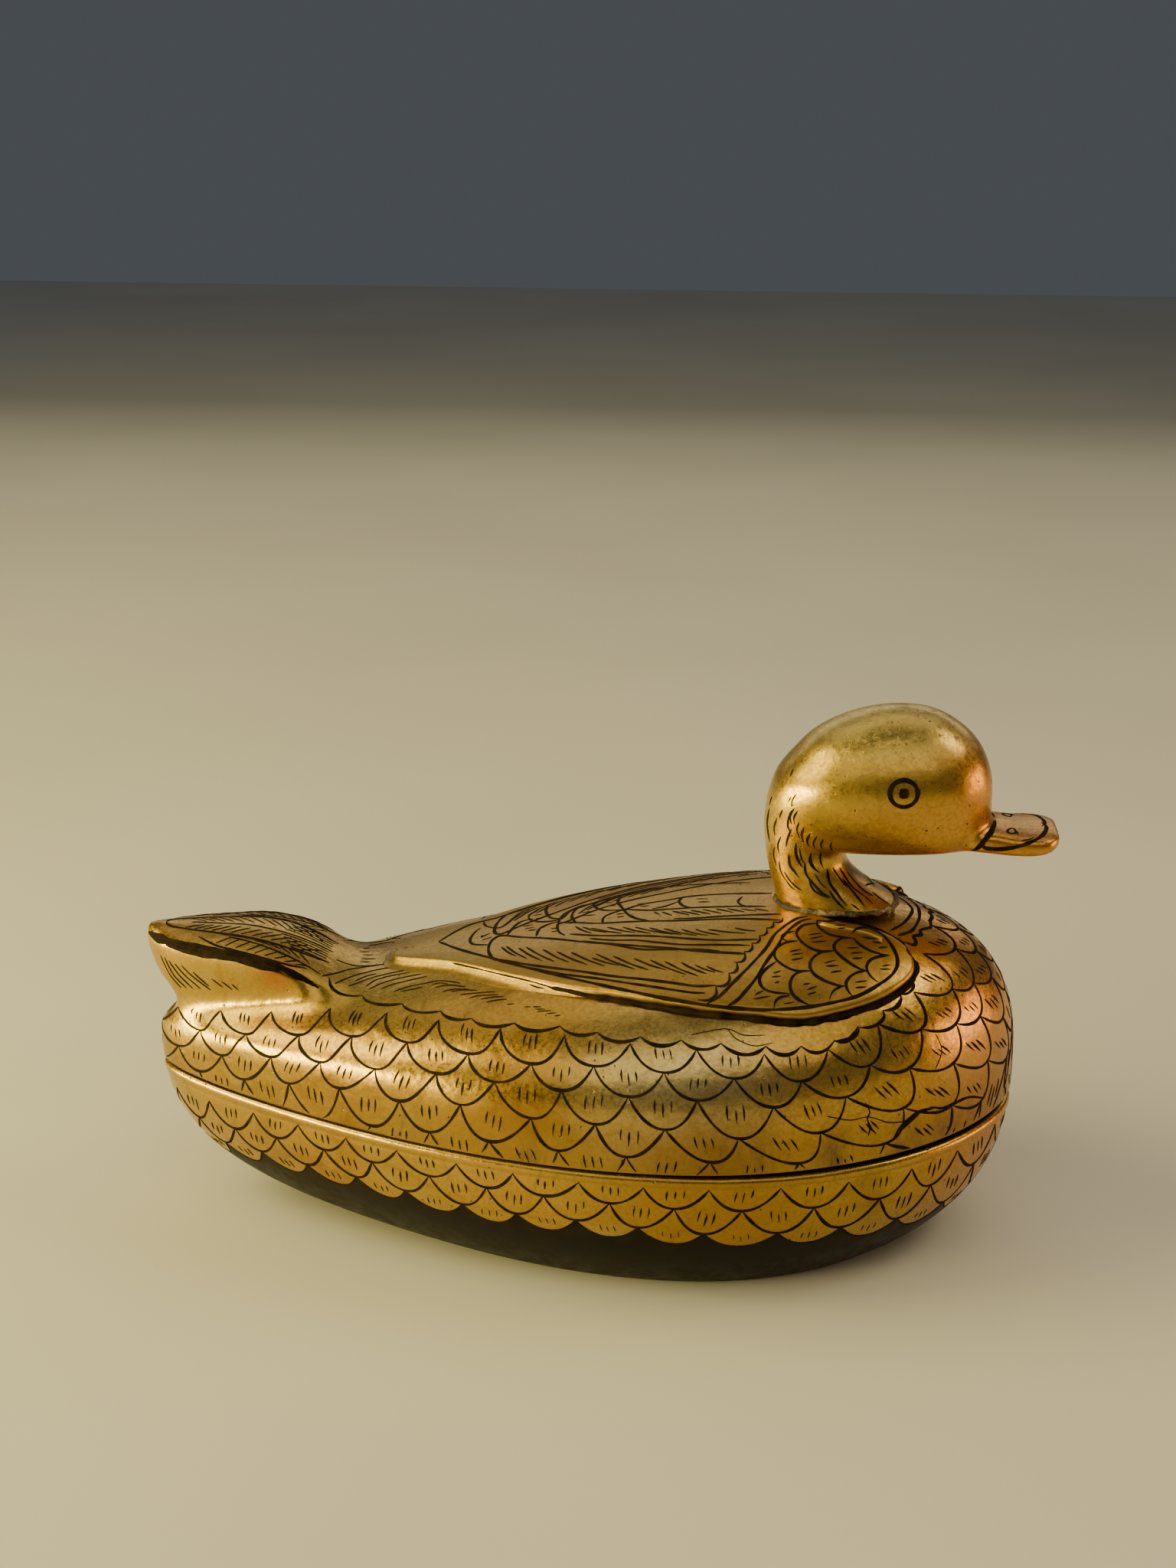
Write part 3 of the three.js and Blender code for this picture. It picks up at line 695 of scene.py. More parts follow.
def ink_lacquer():
    """Black lacquer drawn with a brush: dark brown where thin, a dull gloss, a skin that crawls a little."""
    f = Finish("brushed_black_lacquer_lines")
    if f.made_before:
        return f.material
    flow = f.node("TexNoise", {"Vector": f.place, "Scale": 260.0, "Detail": 4.0})["Fac"]
    return f.shade({
        "Base Color": f.node("ValToRGB", [flow], [(0.4, tuple(colours().ink)), (0.8, linear("#33240F"))])[0],
        "Roughness": f.node("MapRange", [flow, 0.3, 0.7, 0.6, 0.85], **SMOOTH)[0],
        "Specular IOR Level": 0.08,
        "Normal": f.node("Bump", {"Height": flow, "Strength": 0.4, "Distance": 0.0001})[0],
    })


def black_lacquer(name="black_lacquer", rough=0.32):
    """Black lacquer over wood: deep, slightly brown, with scuffs that dull it and leave dusty brown patches.
    """
    f = Finish(name)
    if f.made_before:
        return f.material
    scuffs = f.node("TexNoise", {"Vector": f.place, "Scale": 140.0, "Detail": 7.0, "Roughness": 0.75})["Fac"]
    stops = [(0.45, tuple(colours().black)), (0.66, linear("#1D160E")), (0.82, linear("#33281A"))]
    return f.shade({
        "Base Color": f.node("ValToRGB", [scuffs], stops)[0],
        "Roughness": f.node("MapRange", [scuffs, 0.35, 0.75, rough, rough + 0.3], **SMOOTH)[0],
        "Specular IOR Level": 0.14,
        "Normal": f.node("Bump", {"Height": scuffs, "Strength": 0.35, "Distance": 0.0003})[0],
    })


def crusty_putty():
    """Lacquer putty, set hard: a crumbly dark bead with pale chalky crumbs and glints of leaf."""
    f = Finish("lacquer_putty")
    if f.made_before:
        return f.material
    crumbs = f.node("TexNoise", {"Vector": f.place, "Scale": 420.0, "Detail": 6.0, "Roughness": 0.8})["Fac"]
    drift = f.node("TexNoise", {"Vector": f.place, "Scale": 75.0, "Detail": 1.0})["Fac"]
    crumbs = [f.node("Math", [v, share], **TIMES)[0] for v, share in ((crumbs, 0.6), (drift, 0.4))]
    crumbs = f.node("Math", crumbs, **PLUS)[0]
    stops = [
        (0.4, linear("#17130F")), (0.48, tuple(colours().putty)), (0.54, linear("#7D6436")),
        (0.6, linear("#A8956A")), (0.7, linear("#DAD4C2")),
    ]
    return f.shade({
        "Base Color": f.node("ValToRGB", [crumbs], stops)[0],
        "Roughness": f.node("MapRange", [crumbs, 0.4, 0.7, 0.5, 0.85], **SMOOTH)[0],
        "Normal": f.node("Bump", {"Height": crumbs, "Strength": 0.9, "Distance": 0.0009})[0],
    })


def peg_wood():
    """Turned peg of bare hardwood: long grain with darker pores and a dry surface."""
    f = Finish("bare_turned_wood")
    if f.made_before:
        return f.material
    lengthwise = f.node("Mapping", {"Vector": f.place, "Scale": (700.0, 700.0, 60.0)})[0]
    grain = f.node("TexNoise", {"Vector": lengthwise, "Scale": 1.0, "Detail": 5.0})["Fac"]
    stops = [(0.35, linear("#7A5632")), (0.65, tuple(colours().wood))]
    return f.shade({
        "Base Color": f.node("ValToRGB", [grain], stops)[0],
        "Roughness": 0.72,
        "Normal": f.node("Bump", {"Height": grain, "Strength": 0.5, "Distance": 0.0002})[0],
    })


# Rows of scales

# Cusps of the painted scales on the lid: distance round the outline from the breast, and height.
# Each arc runs from cusp to cusp and hangs down to the cusp of the next row that stands between them.
LID_ROWS = [
    [(10, 100.7), (32, 97.6), (50, 90.9), (69, 85.6), (88, 81.1), (108, 80.9), (129, 81.7), (151, 81.7),
     (175, 81.4), (200, 80.3), (226, 78.9), (249, 77.3), (271, 74.6), (286, 70.6), (301, 67.4),
     (315, 64.5)],
    [(0, 97.5), (17, 96), (35, 89), (55, 82), (76, 75.6), (98, 73.5), (118, 75), (139, 75.9), (161, 75.9),
     (181, 74.5), (203, 74.2), (226, 73.6), (246, 71.8), (263, 68.9), (280, 65.4), (298, 62.1),
     (322.6, 58)],
    [(8, 93), (24, 87.9), (41, 80.5), (63, 72.5), (85, 67.7), (107, 66.8), (129, 69.1), (149, 69.1),
     (169, 69), (190, 68.8), (209, 68.2), (229, 65.9), (248, 64), (266, 61.5), (286, 56.9), (307, 54)],
    [(0, 87.5), (12, 86.2), (29, 79.5), (46, 70), (66, 61), (93, 57.9), (117, 57.8), (138, 60.3),
     (158, 60.5), (177, 60.1), (199, 60.8), (219, 58.1), (240, 57.6), (259, 54.6), (277, 51.3), (297, 48.5),
     (322.6, 46)],
    [(5, 80), (15, 74.6), (29, 65.7), (47, 57), (72, 51), (99, 48.9), (125, 50.5), (149, 51.1), (169, 51),
     (190, 50.8), (209, 50.2), (229, 47.9), (248, 46), (266, 43.5), (286, 38.9), (307, 36)],
    [(0, 74), (7, 68), (14, 61.7), (32, 53.8), (52, 46.5), (83, 41), (112, 39.8), (138, 42.3), (158, 42.5),
     (177, 42.1), (199, 42.8), (219, 40.1), (240, 39.6), (259, 36.6), (277, 33.3), (297, 30.5),
     (322.6, 28)],
]
ROW_COUNT, ROW_PAIR_DROP = 9, 18.0  # all rows, and the drop from a row to the next but one
BREAST_SPREAD, BREAST_SPAN = 5.5, 75.0  # mm added to that drop at the breast, fading out over this distance

# Bold scalloped line above them
SCALLOP_LINE = [
    (75.5, 85.8), (85, 83.1), (96, 82.4), (107, 82.7), (121, 83.3), (134, 83.5), (148, 83.3), (164, 83),
    (179, 82.9), (197, 81.7), (215, 80.6), (231, 80.2), (251, 79.1), (274, 77.7), (295, 75.8),
]

# The bowl's rows of cusps: distance round the outline, and height
BOWL_ROWS = [
    [(0, 41.3), (20, 41.2), (42, 40.6), (61, 40.2), (83, 40.6), (104, 41.2), (125, 41.4), (144, 41.4),
     (163, 41.4), (183, 41.4), (201, 41.4), (221, 41.4), (239, 41.4), (257, 41.3), (275, 40.6), (295, 38.9),
     (313, 37.8)],
    [(9, 31.6), (29, 31.4), (51, 31.6), (71, 32.4), (93, 33.4), (115, 34.2), (135, 34.9), (154, 35.4),
     (174, 35.4), (192, 35.1), (211, 35.2), (231, 35.3), (249, 35), (268, 34), (287, 31.8), (306, 30)],
    [(0, 20.3), (18, 20.3), (37, 20.6), (60, 22.1), (82, 24.3), (103, 25.3), (126, 25.9), (146, 27.4),
     (165, 28), (184, 27.3), (202, 27.1), (222, 27.4), (240, 27.8), (260, 26.8), (280, 25.9), (300, 23.2),
     (314, 22)],
]
BOWL_DROP = 4.8  # mm, the lowest scales hang this far into the black
HANG_POWER = 2.2  # the larger, the squarer the arcs


def scale_row(row):
    """Cusps of a row of the lid on one side; the rows come in two kinds, half a scale apart."""
    if row < len(LID_ROWS):
        return LID_ROWS[row]
    # towards the breast the rows stand further apart
    return [
        (arc, level - ROW_PAIR_DROP - BREAST_SPREAD * max(0.0, 1 - arc / BREAST_SPAN))
        for arc, level in scale_row(row - 2)
    ]


def scales_of(cusps, below, on_breast):
    """Scales of a row, as two cusps and the low point between them, on both sides of the body."""
    spans = list(zip(cusps, cusps[1:], below if on_breast else below[1:]))
    both = [tuple((side * arc, level) for arc, level in span_) for span_ in spans for side in (1, -1)]
    if not on_breast:
        (arc, level), middle = cusps[0], below[0]
        both.append(((-arc, level), (arc, level), middle))
    (arc, level), low = cusps[-1], below[-1]
    if arc < HALF_ROUND - 1:
        both.append(((arc, level), (2 * HALF_ROUND - arc, level), (HALF_ROUND, low[1])))
    return both


def scale_arc(left, right, low, points=15):
    """Path of one scale from cusp to cusp, as distance round the outline and height."""
    u = np.linspace(-1, 1, points)
    hang = 1 - np.abs(u) ** HANG_POWER
    left, right, low = np.array(left), np.array(right), np.array(low)
    path = (left + right)[:, None] / 2 + (right - left)[:, None] / 2 * u
    return path + (low - (left + right) / 2)[:, None] * hang


def paint_scale(brush, left, right, low, width, keep=None):
    """One scale: its arc, and three short strokes under its top."""
    dice = brush.random
    brush.stroke(flank_point(*scale_arc(left, right, low)), width * dice.uniform(0.85, 1.15), keep=keep)
    top = (np.array(left) + np.array(right)) / 2
    down = np.array(low) - top
    lean = dice.uniform(-0.5, 0.5)
    for j in (-1, 0, 1) if abs(right[0] - left[0]) > NARROW_SCALE else (0,):
        start = dice.uniform(0.0, 0.12) + (0.06 if j == 0 else 0)
        reach = dice.uniform(0.36, 0.5)
        shift = np.array([j * dice.uniform(2.0, 2.5), 0.0])
        a, b = top + down * start + shift, top + down * (start + reach) + shift + [lean, 0]
        path = flank_point(*np.array([a, (a + b) / 2 + [0.12 * j, 0], b]).T)
        brush.stroke(path, width * dice.uniform(0.7, 0.9), step=0.7, keep=keep)


# Pieces

def scalloped_edge(arc):
    """Height of the line between gold and black on the bowl."""
    arc = np.abs(arc)
    arcs, levels = (np.array(v) for v in zip(*BOWL_ROWS[2]))
    arcs = np.append(arcs, 2 * HALF_ROUND - arcs[-1])
    levels = np.append(levels, levels[-1])
    k = np.clip(np.searchsorted(arcs, arc, side="right") - 1, 0, len(arcs) - 2)
    u = 2 * (arc - arcs[k]) / (arcs[k + 1] - arcs[k]) - 1
    return np.interp(arc, arcs, levels) - BOWL_DROP * (1 - np.abs(u) ** HANG_POWER)


class DUCKBOX_OT_bowl(bpy.types.Operator):
    """Bowl: lacquered black inside and below, gilt above a scalloped edge, with a plain bead at the lip"""

    bl_idname = "duckbox.bowl"
    bl_label = "Bowl"

    def execute(self, context):
        count = 960
        arcs = round_arcs(count)
        angle = angle_at(arcs)
        ledge = COLLAR_LOW - 0.4
        edge = scalloped_edge(arcs)
        below_ledge = -BOWL_WALL - COLLAR_LEDGE
        rings = [pole(count, WIDEST_X, BOWL_FLOOR)]
        for k in range(1, 5):
            x, y = plan_point(angle, keel_scale(BOWL_FLOOR, below_ledge) * k / 4, below_ledge)
            rings.append(stack(x, y, BOWL_FLOOR))
        for k in range(1, 9):
            level = BOWL_FLOOR + (ledge - BOWL_FLOOR) * (k / 8) ** 1.6
            rings.append(keel_ring(angle, level, below_ledge))
        rings += [wall_ring(angle, ledge, -BOWL_WALL), wall_ring(angle, SEAM_Z - 0.8, -BOWL_WALL)]
        for level, grow in ((SEAM_Z - 0.25, -BOWL_WALL + 0.3), (SEAM_Z, -BOWL_WALL + 0.9), (SEAM_Z, -1.5)):
            rings.append(keel_ring(angle, level, grow))
        inside = len(rings)
        for level, grow in ((SEAM_Z - 0.02, -1.1), (SEAM_Z - 0.36, -0.36), (SEAM_Z - 0.9, 0.15),
                            (SEAM_Z - 1.6, LIP_PROUD), (SEAM_Z - 2.4, LIP_PROUD), (SEAM_Z - 3.0, 0.15),
                            (SEAM_Z - LIP_BEAD, -0.12), (SEAM_Z - LIP_BEAD - 0.5, 0.0)):
            rings.append(keel_ring(angle, level, grow))
        start = SEAM_Z - LIP_BEAD - 0.5
        for k in range(1, 15):
            rings.append(keel_ring(angle, start + (edge - start) * k / 14))
        gilt = len(rings)
        for k in range(1, 12):
            rings.append(keel_ring(angle, edge * (1 - (k / 12) ** 0.9) + FOOT_EASE * (k / 12)))
        rings += [keel_ring(angle, FOOT_EASE), keel_ring(angle, 0.06, -0.25), keel_ring(angle, 0.0, -0.7)]
        for k in (0.8, 0.5, 0.2):
            x, y = plan_point(angle, keel_scale(0.0) * k)
            rings.append(stack(x, y, 0.0))
        rings.append(pole(count, WIDEST_X, 0.0))
        slots = [0 if inside <= k + 1 < gilt else 1 for k in range(len(rings) - 1)]
        bowl = skin("gilt_bowl", rings, slots)
        gold = gilt_lacquer("gilt_bowl_lacquer", worn=0.45, rough=0.27, tints_and_painted_light=BOWL_PAINTED_SHADE)
        finish_piece(bowl, [gold, black_lacquer()], "base", ["box_base"])
        smooth_by_angle(bowl, 50)
        return {"FINISHED"}


def inside_plan(x, y, grow):
    """Whether plan points lie within the outline grown by grow."""
    px, py = plan_point(np.linspace(0, np.pi, 1441), 1.0, grow)
    return (np.abs(y) < np.interp(x, px[::-1], py[::-1])) & (x > px[-1]) & (x < px[0])


class DUCKBOX_OT_bowl_scales(bpy.types.Operator):
    """Painted scales on the bowl, in three rows above the black"""

    bl_idname = "duckbox.bowl_scales"
    bl_label = "Bowl scales"

    def execute(self, context):
        brush = Brush(bpy.data.objects["gilt_bowl"], seed=3)
        width = sizes().line_width / MM
        middles = [
            ((a[0] + b[0]) / 2, (a[1] + b[1]) / 2 - BOWL_DROP) for a, b in zip(BOWL_ROWS[2], BOWL_ROWS[2][1:])
        ]
        rows = BOWL_ROWS + [middles]
        for row in range(3):
            for left, right, low in scales_of(rows[row], rows[row + 1], row % 2 == 0):
                paint_scale(brush, left, right, low, width * (1.0 if row < 2 else 0.55))
        finish_piece(brush.piece("bowl_scale_lines"), [ink_lacquer()], "base")
        return {"FINISHED"}


class DUCKBOX_OT_collar(bpy.types.Operator):
    """Collar inside the rim, black lacquered, with eased edges"""

    bl_idname = "duckbox.collar"
    bl_label = "Rim collar"

    def execute(self, context):
        angle = round_angles(400)
        ease, corner = 0.5, 0.15
        section = [
            (COLLAR_LOW, COLLAR_OUT), (COLLAR_HIGH - ease, COLLAR_OUT),
            (COLLAR_HIGH - corner, COLLAR_OUT + corner), (COLLAR_HIGH, COLLAR_OUT + ease),
            (COLLAR_HIGH, COLLAR_IN - ease), (COLLAR_HIGH - corner, COLLAR_IN - corner),
            (COLLAR_HIGH - ease, COLLAR_IN), (COLLAR_LOW, COLLAR_IN), (COLLAR_LOW, COLLAR_OUT),
        ]
        collar = skin("rim_collar_ring", [wall_ring(angle, level, -grow) for level, grow in section])
        smooth_by_angle(collar, 35)
        finish_piece(collar, [black_lacquer("collar_lacquer", 0.26)], "base", ["rim_collar"])
        return {"FINISHED"}


def tail_half(share):
    return TAIL_HALF * np.sin(share * np.pi / 2) ** 0.5


def tail_top(share):
    return TAIL_TOP - TAIL_DROP * (max(share - TAIL_LEVEL, 0) / TAIL_FALLING) ** 2


# Side of the tail: share of the half width at shares of the way down
TAIL_EDGE = [
    (1.0, 0.06), (1.0, 0.13), (0.985, 0.24), (0.95, 0.38), (0.9, 0.52), (0.835, 0.68), (0.77, 0.84),
    (0.72, 1.0),
]
SHOULDER_DROP = 1.2  # mm from the top's middle line, without the crown, to its edge


def tail_ring(share):
    """Section of the tail: crowned top, rounded edge, side that draws in to the waist."""
    x = TAIL_TIP_X + share * TAIL_LENGTH
    half, top = tail_half(share), tail_top(share)
    undercut = (x - TAIL_TIP_X) / 9.5
    waist = TAIL_TOP - (5 + 17 * min(undercut, 1))
    root = waist - min(max(undercut - 1, 0.05), 1) * 9
    across = np.linspace(1, -1, 25)
    upper = [(half * a * 0.985, top + TAIL_CROWN * (1 - a * a) - SHOULDER_DROP * a * a) for a in across]
    shoulder = top - SHOULDER_DROP
    lower = [(half * w, shoulder + (waist - top + SHOULDER_DROP) * d) for w, d in TAIL_EDGE]
    lower.append((TAIL_EDGE[-1][0] * half, root))
    ring = upper + [(-y, z) for y, z in lower] + list(reversed(lower))
    return np.array([(x, y, z) for y, z in ring])


class DUCKBOX_OT_lid(bpy.types.Operator):
    """Lid: the carved back and tail in one, hollowed from below, with its rim cut to the seam"""

    bl_idname = "duckbox.lid"
    bl_label = "Lid"

    def execute(self, context):
        angle = round_angles(336)
        count = len(angle)
        rings = [pole(count, WIDEST_X, LID_SKIRT)]
        rings += [keel_ring(angle, LID_SKIRT + (WIDEST_Z - LID_SKIRT) * k / 10) for k in range(10)]
        rings += [back_ring(angle, k / 44) for k in range(44)]
        rings.append(pole(count, WIDEST_X, back_line(WIDEST_X)))
        back = skin("lid_back", rings)
        shares = 1 - np.cos(np.linspace(0.06, np.pi / 2, 44))
        sections = [tail_ring(s) for s in shares]
        ends = [np.tile([x, 0.0, z], (len(sections[0]), 1)) for x, z in (
            (TAIL_TIP_X, TAIL_TOP - 2.5), (TAIL_TIP_X + TAIL_LENGTH, TAIL_TOP - 36))]
        tail = skin("lid_tail", [ends[0]] + sections + [ends[1]])
        lid = fuse("gilt_lid", [back, tail], sizes().lid_voxel, 12.0, 110)
        cut(lid, self.hollow())
        smooth_by_angle(lid, 42)
        gold = gilt_lacquer("gilt_lid_lacquer", worn=0.55, seam_soot_and_shade=True, rough=0.27, tints_and_painted_light=LID_TINTS_AND_PAINTED_LIGHT)
        finish_piece(lid, [gold, black_lacquer()], "lid", ["lid_shell"])
        x, y, z = (values_of(lid.data.polygons, "center") / MM - SHIFT).T
        # the rim's underside and its outer bevel take the black lacquer; the black bevel also paints the
        # seam's dark line, as painted shade
        faces_down = (values_of(lid.data.polygons, "normal")[:, 2] < -0.35) & (z < rim_height(x) + 0.9)
        inner = inside_plan(x, y, -LID_WALL + 1.5) & (z < back_height(x, y) - 5) | faces_down
        lid.data.polygons.foreach_set("material_index", inner.astype(np.int32))
        return {"FINISHED"}

    def hollow(self):
        """Cutter: all below the rim, and the hollow above it."""
        angle = round_angles(240)
        count = len(angle)
        low, clear = 20.0, 12.0  # mm, well below the seam and well outside the body
        rings = [pole(count, WIDEST_X, low), wall_ring(angle, low, clear)]
        # the rim's outer edge is bevelled by 1.1 mm and its inner edge by 0.7 mm
        for over, grow in ((1.1, clear), (1.1, 0.5), (0.0, -0.75), (0.0, -LID_WALL + 0.7), (0.7, -LID_WALL)):
            rings.append(wall_ring(angle, lambda x: rim_height(x) + over, grow))
        for k in range(18):
            ring = back_ring(angle, k / 18, -LID_WALL)
            roof = back_line(ring[:, 0]) - LID_WALL - WIDEST_Z
            ring[:, 2] = WIDEST_Z + (ring[:, 2] - WIDEST_Z) * (roof + LID_WALL - LID_CROWN) / roof
            rings.append(ring)
        rings.append(pole(count, WIDEST_X, back_line(WIDEST_X) - LID_CROWN))
        return skin("lid_cutter", rings)


# Half outline of the mantle, from its tip to the notch under the neck, as in the frame
MANTLE_SHARES = [
    (-1, 0), (-0.985, 0.05), (-0.93, 0.105), (-0.86, 0.16), (-0.76, 0.25), (-0.65, 0.375), (-0.53, 0.512),
    (-0.42, 0.628), (-0.32, 0.719), (-0.16, 0.821), (-0.06, 0.873), (0.05, 0.919), (0.17, 0.945),
    (0.36, 0.958), (0.49, 0.948), (0.61, 0.903), (0.74, 0.825), (0.84, 0.745), (0.92, 0.65), (0.965, 0.57),
    (0.97, 0.5), (0.94, 0.43), (0.87, 0.375), (0.78, 0.34), (0.65, 0.305), (0.57, 0.22), (0.56, 0),
]
MANTLE_REAR, MANTLE_FRONT, MANTLE_HALF = 90.0, 70.0, 58.2
INNERMOST = -5.6  # mm, from here inwards the mantle's top is even
# Section of the mantle's edge: distance outside its outline and height over the back
MANTLE_EDGE = [
    (0.9, -2.2), (0.5, -1.0), (0.15, -0.25), (0.02, 0.4), (-0.05, 1.0), (-0.18, 1.6), (-0.42, 2.1),
    (-0.85, 2.45), (-1.4, 2.6), (-2.4, 2.64), (INNERMOST, 2.62),
]
# The same at the rear, where the edge runs out over the back in a hollow, widest at the sides
MANTLE_HOLLOW = [
    (6.0, -0.9), (4.6, -0.12), (3.4, 0.14), (2.3, 0.42), (1.45, 0.8), (0.85, 1.25), (0.42, 1.75), (0.16, 2.2),
    (-0.1, 2.48), (-0.8, 2.62), (INNERMOST, 2.62),
]
HOLLOW_EXTRA = 2.6  # mm that the hollow gains where it faces sideways
HOLLOW_FROM, HOLLOW_FADE = 8.0, 30.0  # mm, it begins behind this x and is full that much further back


def mantle_outline(count):
    """Closed outline of the mantle and its outward normals, evenly spaced."""
    half = np.array([
        (WIDEST_X + u * (MANTLE_REAR if u < 0 else MANTLE_FRONT), v * MANTLE_HALF) for u, v in MANTLE_SHARES
    ])
    near = smooth_path(half, 0.5)
    loop = np.vstack([near, (near[1:-1] * [1, -1])[::-1]])
    loop = np.vstack([loop, loop[:1]])
    length = np.concatenate([[0], np.cumsum(np.linalg.norm(np.diff(loop, axis=0), axis=1))])
    at = np.linspace(0, length[-1], count, endpoint=False)
    points = np.stack([np.interp(at, length, loop[:, k]) for k in (0, 1)], axis=1)
    for _ in range(3):
        points = (np.roll(points, 1, 0) + 2 * points + np.roll(points, -1, 0)) / 4
    along = np.roll(points, -2, 0) - np.roll(points, 2, 0)
    along /= np.linalg.norm(along, axis=1, keepdims=True)
    outward = np.stack([-along[:, 1], along[:, 0]], axis=1)
    if ((points - [WIDEST_X, 0]) * outward).sum() < 0:
        outward = -outward
    return points, outward


class DUCKBOX_OT_mantle(bpy.types.Operator):
    """Raised mantle on the back, with a rounded edge that runs out in a hollow at the rear"""

    bl_idname = "duckbox.mantle"
    bl_label = "Mantle"

    def execute(self, context):
        count = 420
        points, outward = mantle_outline(count)
        centre = np.array([WIDEST_X, 0.0])
        rings = [on_back(*np.tile(centre, (count, 1)).T, -3.0)]
        rings.append(on_back(*(centre + (points - centre) * 0.5).T, -3.0))
        rear = np.clip((HOLLOW_FROM - points[:, 0]) / HOLLOW_FADE, 0, 1)
        for (offset, rise), (far_offset, far_rise) in zip(MANTLE_EDGE, MANTLE_HOLLOW):
            reach = offset + (far_offset - offset) * rear
            if offset > INNERMOST:
                reach = reach + HOLLOW_EXTRA * rear * np.abs(outward[:, 1])
            rings.append(on_back(*(points + outward * reach[:, None]).T, rise + (far_rise - rise) * rear))
        last = points + outward * INNERMOST
        for k in range(1, 20):
            share = 1 - k / 20
            rings.append(on_back(*(centre + (last - centre) * share).T, MANTLE_RISE))
        rings.append(on_back(*np.tile(centre, (count, 1)).T, MANTLE_RISE))
        mantle = skin("gilt_mantle", rings)
        gold = gilt_lacquer("gilt_mantle_lacquer", olive=0.4, worn=0.35, rough=0.36)
        finish_piece(mantle, [gold], "lid")
        return {"FINISHED"}


def mirrored(path):
    return np.asarray(path, float) * [1, -1, 1][: np.shape(path)[1]]


def over_back(points, rise=MANTLE_RISE):
    """Plan points lifted on to the back."""
    points = np.asarray(points, float)
    return np.column_stack([points, back_height(points[:, 0], points[:, 1]) + rise])


# Half width of the mantle's border line at stations from the stern's end
BORDER_HALF = [
    (-48, 0), (-29, 18.7), (-9.8, 35), (6, 44.8), (22.5, 50.8), (38.4, 54), (57.3, 54.2), (68.8, 51.6),
    (80.4, 46), (92, 33),
]

# Ornament of the mantle: share of the line's width, and places in the photograph's frame.
# These lines come on both sides.
MANTLE_PAIRED = [
    (1.1, [(573, 1230), (600, 1240), (640, 1251), (700, 1267), (760, 1281), (820, 1294), (880, 1306),
     (940, 1315), (1000, 1319), (1050, 1316), (1090, 1309), (1120, 1301), (1143, 1289), (1162, 1276),
     (1171, 1264), (1172, 1252), (1167, 1239), (1157, 1225), (1145, 1216), (1130, 1211), (1118, 1214),
     (1113, 1219)]),
    (1.05, [(975, 1246), (920, 1243), (880, 1239), (840, 1236), (800, 1233), (760, 1230), (720, 1226),
     (680, 1224), (655, 1222), (643, 1228), (638, 1238), (640, 1247), (646, 1253), (662, 1255), (690, 1260),
     (720, 1264), (760, 1269), (800, 1275), (840, 1279), (880, 1284), (910, 1288), (935, 1287)]),
    (0.9, [(650, 1255), (675, 1261), (700, 1266), (740, 1273), (780, 1278), (820, 1284), (860, 1290),
     (900, 1296), (921, 1297)]),
    (0.85, [(760, 1229), (800, 1234), (840, 1240), (900, 1240), (940, 1242)]),
    (0.95, [(1020, 1202), (960, 1200), (900, 1202), (860, 1203), (820, 1204), (780, 1206), (735, 1205),
     (728, 1211), (731, 1218), (738, 1222)]),
    (0.95, [(744, 1220), (780, 1222), (820, 1222), (860, 1223), (900, 1226), (940, 1228), (990, 1227)]),
    (0.85, [(770, 1226), (800, 1228), (830, 1228), (860, 1231), (900, 1234), (980, 1235)]),
    (1.0, [(922, 1312), (940, 1301), (960, 1281), (980, 1261), (1000, 1239), (1010, 1223), (1020, 1213),
     (1040, 1200), (1055, 1197)]),
    (1.0, [(948, 1316), (962, 1307), (975, 1293), (988, 1277), (997, 1262), (1006, 1249), (1015, 1237),
     (1021, 1226), (1031, 1214), (1046, 1203), (1060, 1200)]),
    (1.0, [(1068, 1202), (1067, 1208), (1074, 1215), (1085, 1221), (1100, 1224), (1113, 1225)]),
    (1.0, [(1066, 1206), (1050, 1208), (1041, 1216), (1042, 1224), (1050, 1233), (1062, 1240), (1075, 1243),
     (1089, 1242)]),
    (1.0, [(1113, 1225), (1098, 1226), (1090, 1233), (1090, 1240), (1097, 1248), (1110, 1258), (1122, 1265),
     (1133, 1268)]),
    (1.0, [(1114, 1225), (1122, 1233), (1135, 1241), (1150, 1246), (1162, 1248)]),
    (0.9, [(1162, 1248), (1150, 1249), (1138, 1253), (1132, 1261), (1133, 1268), (1138, 1276),
     (1147, 1283)]),
    (1.0, [(1089, 1242), (1075, 1243), (1064, 1249), (1058, 1258), (1060, 1268), (1068, 1276), (1082, 1283),
     (1095, 1287), (1104, 1288)]),
    (1.0, [(1133, 1268), (1120, 1270), (1110, 1276), (1105, 1284), (1107, 1293), (1113, 1301)]),
    (1.0, [(1058, 1268), (1045, 1269), (1035, 1276), (1032, 1287), (1035, 1298), (1045, 1307),
     (1058, 1313)]),
    (0.85, [(1104, 1288), (1097, 1289), (1088, 1295), (1083, 1305)]),
    (0.9, [(1042, 1229), (1030, 1230), (1020, 1234), (1012, 1241), (1013, 1252), (1025, 1262), (1040, 1268),
     (1057, 1268)]),
    (0.9, [(1014, 1256), (1000, 1266), (992, 1278), (996, 1290), (1010, 1296), (1032, 1298)]),
    (0.85, [(1032, 1300), (1018, 1303), (1012, 1310), (1011, 1318)]),
    (0.85, [(1038, 1216), (1026, 1219), (1021, 1225), (1030, 1230)]),
]
# Cusps of the small scallops along the feathers' ends
BAND_CUSPS = [
    (911, 1306), (935, 1288), (952, 1271), (962, 1257), (972, 1243), (982, 1232), (992, 1222), (1001, 1212),
    (1010, 1204), (1022, 1199),
]
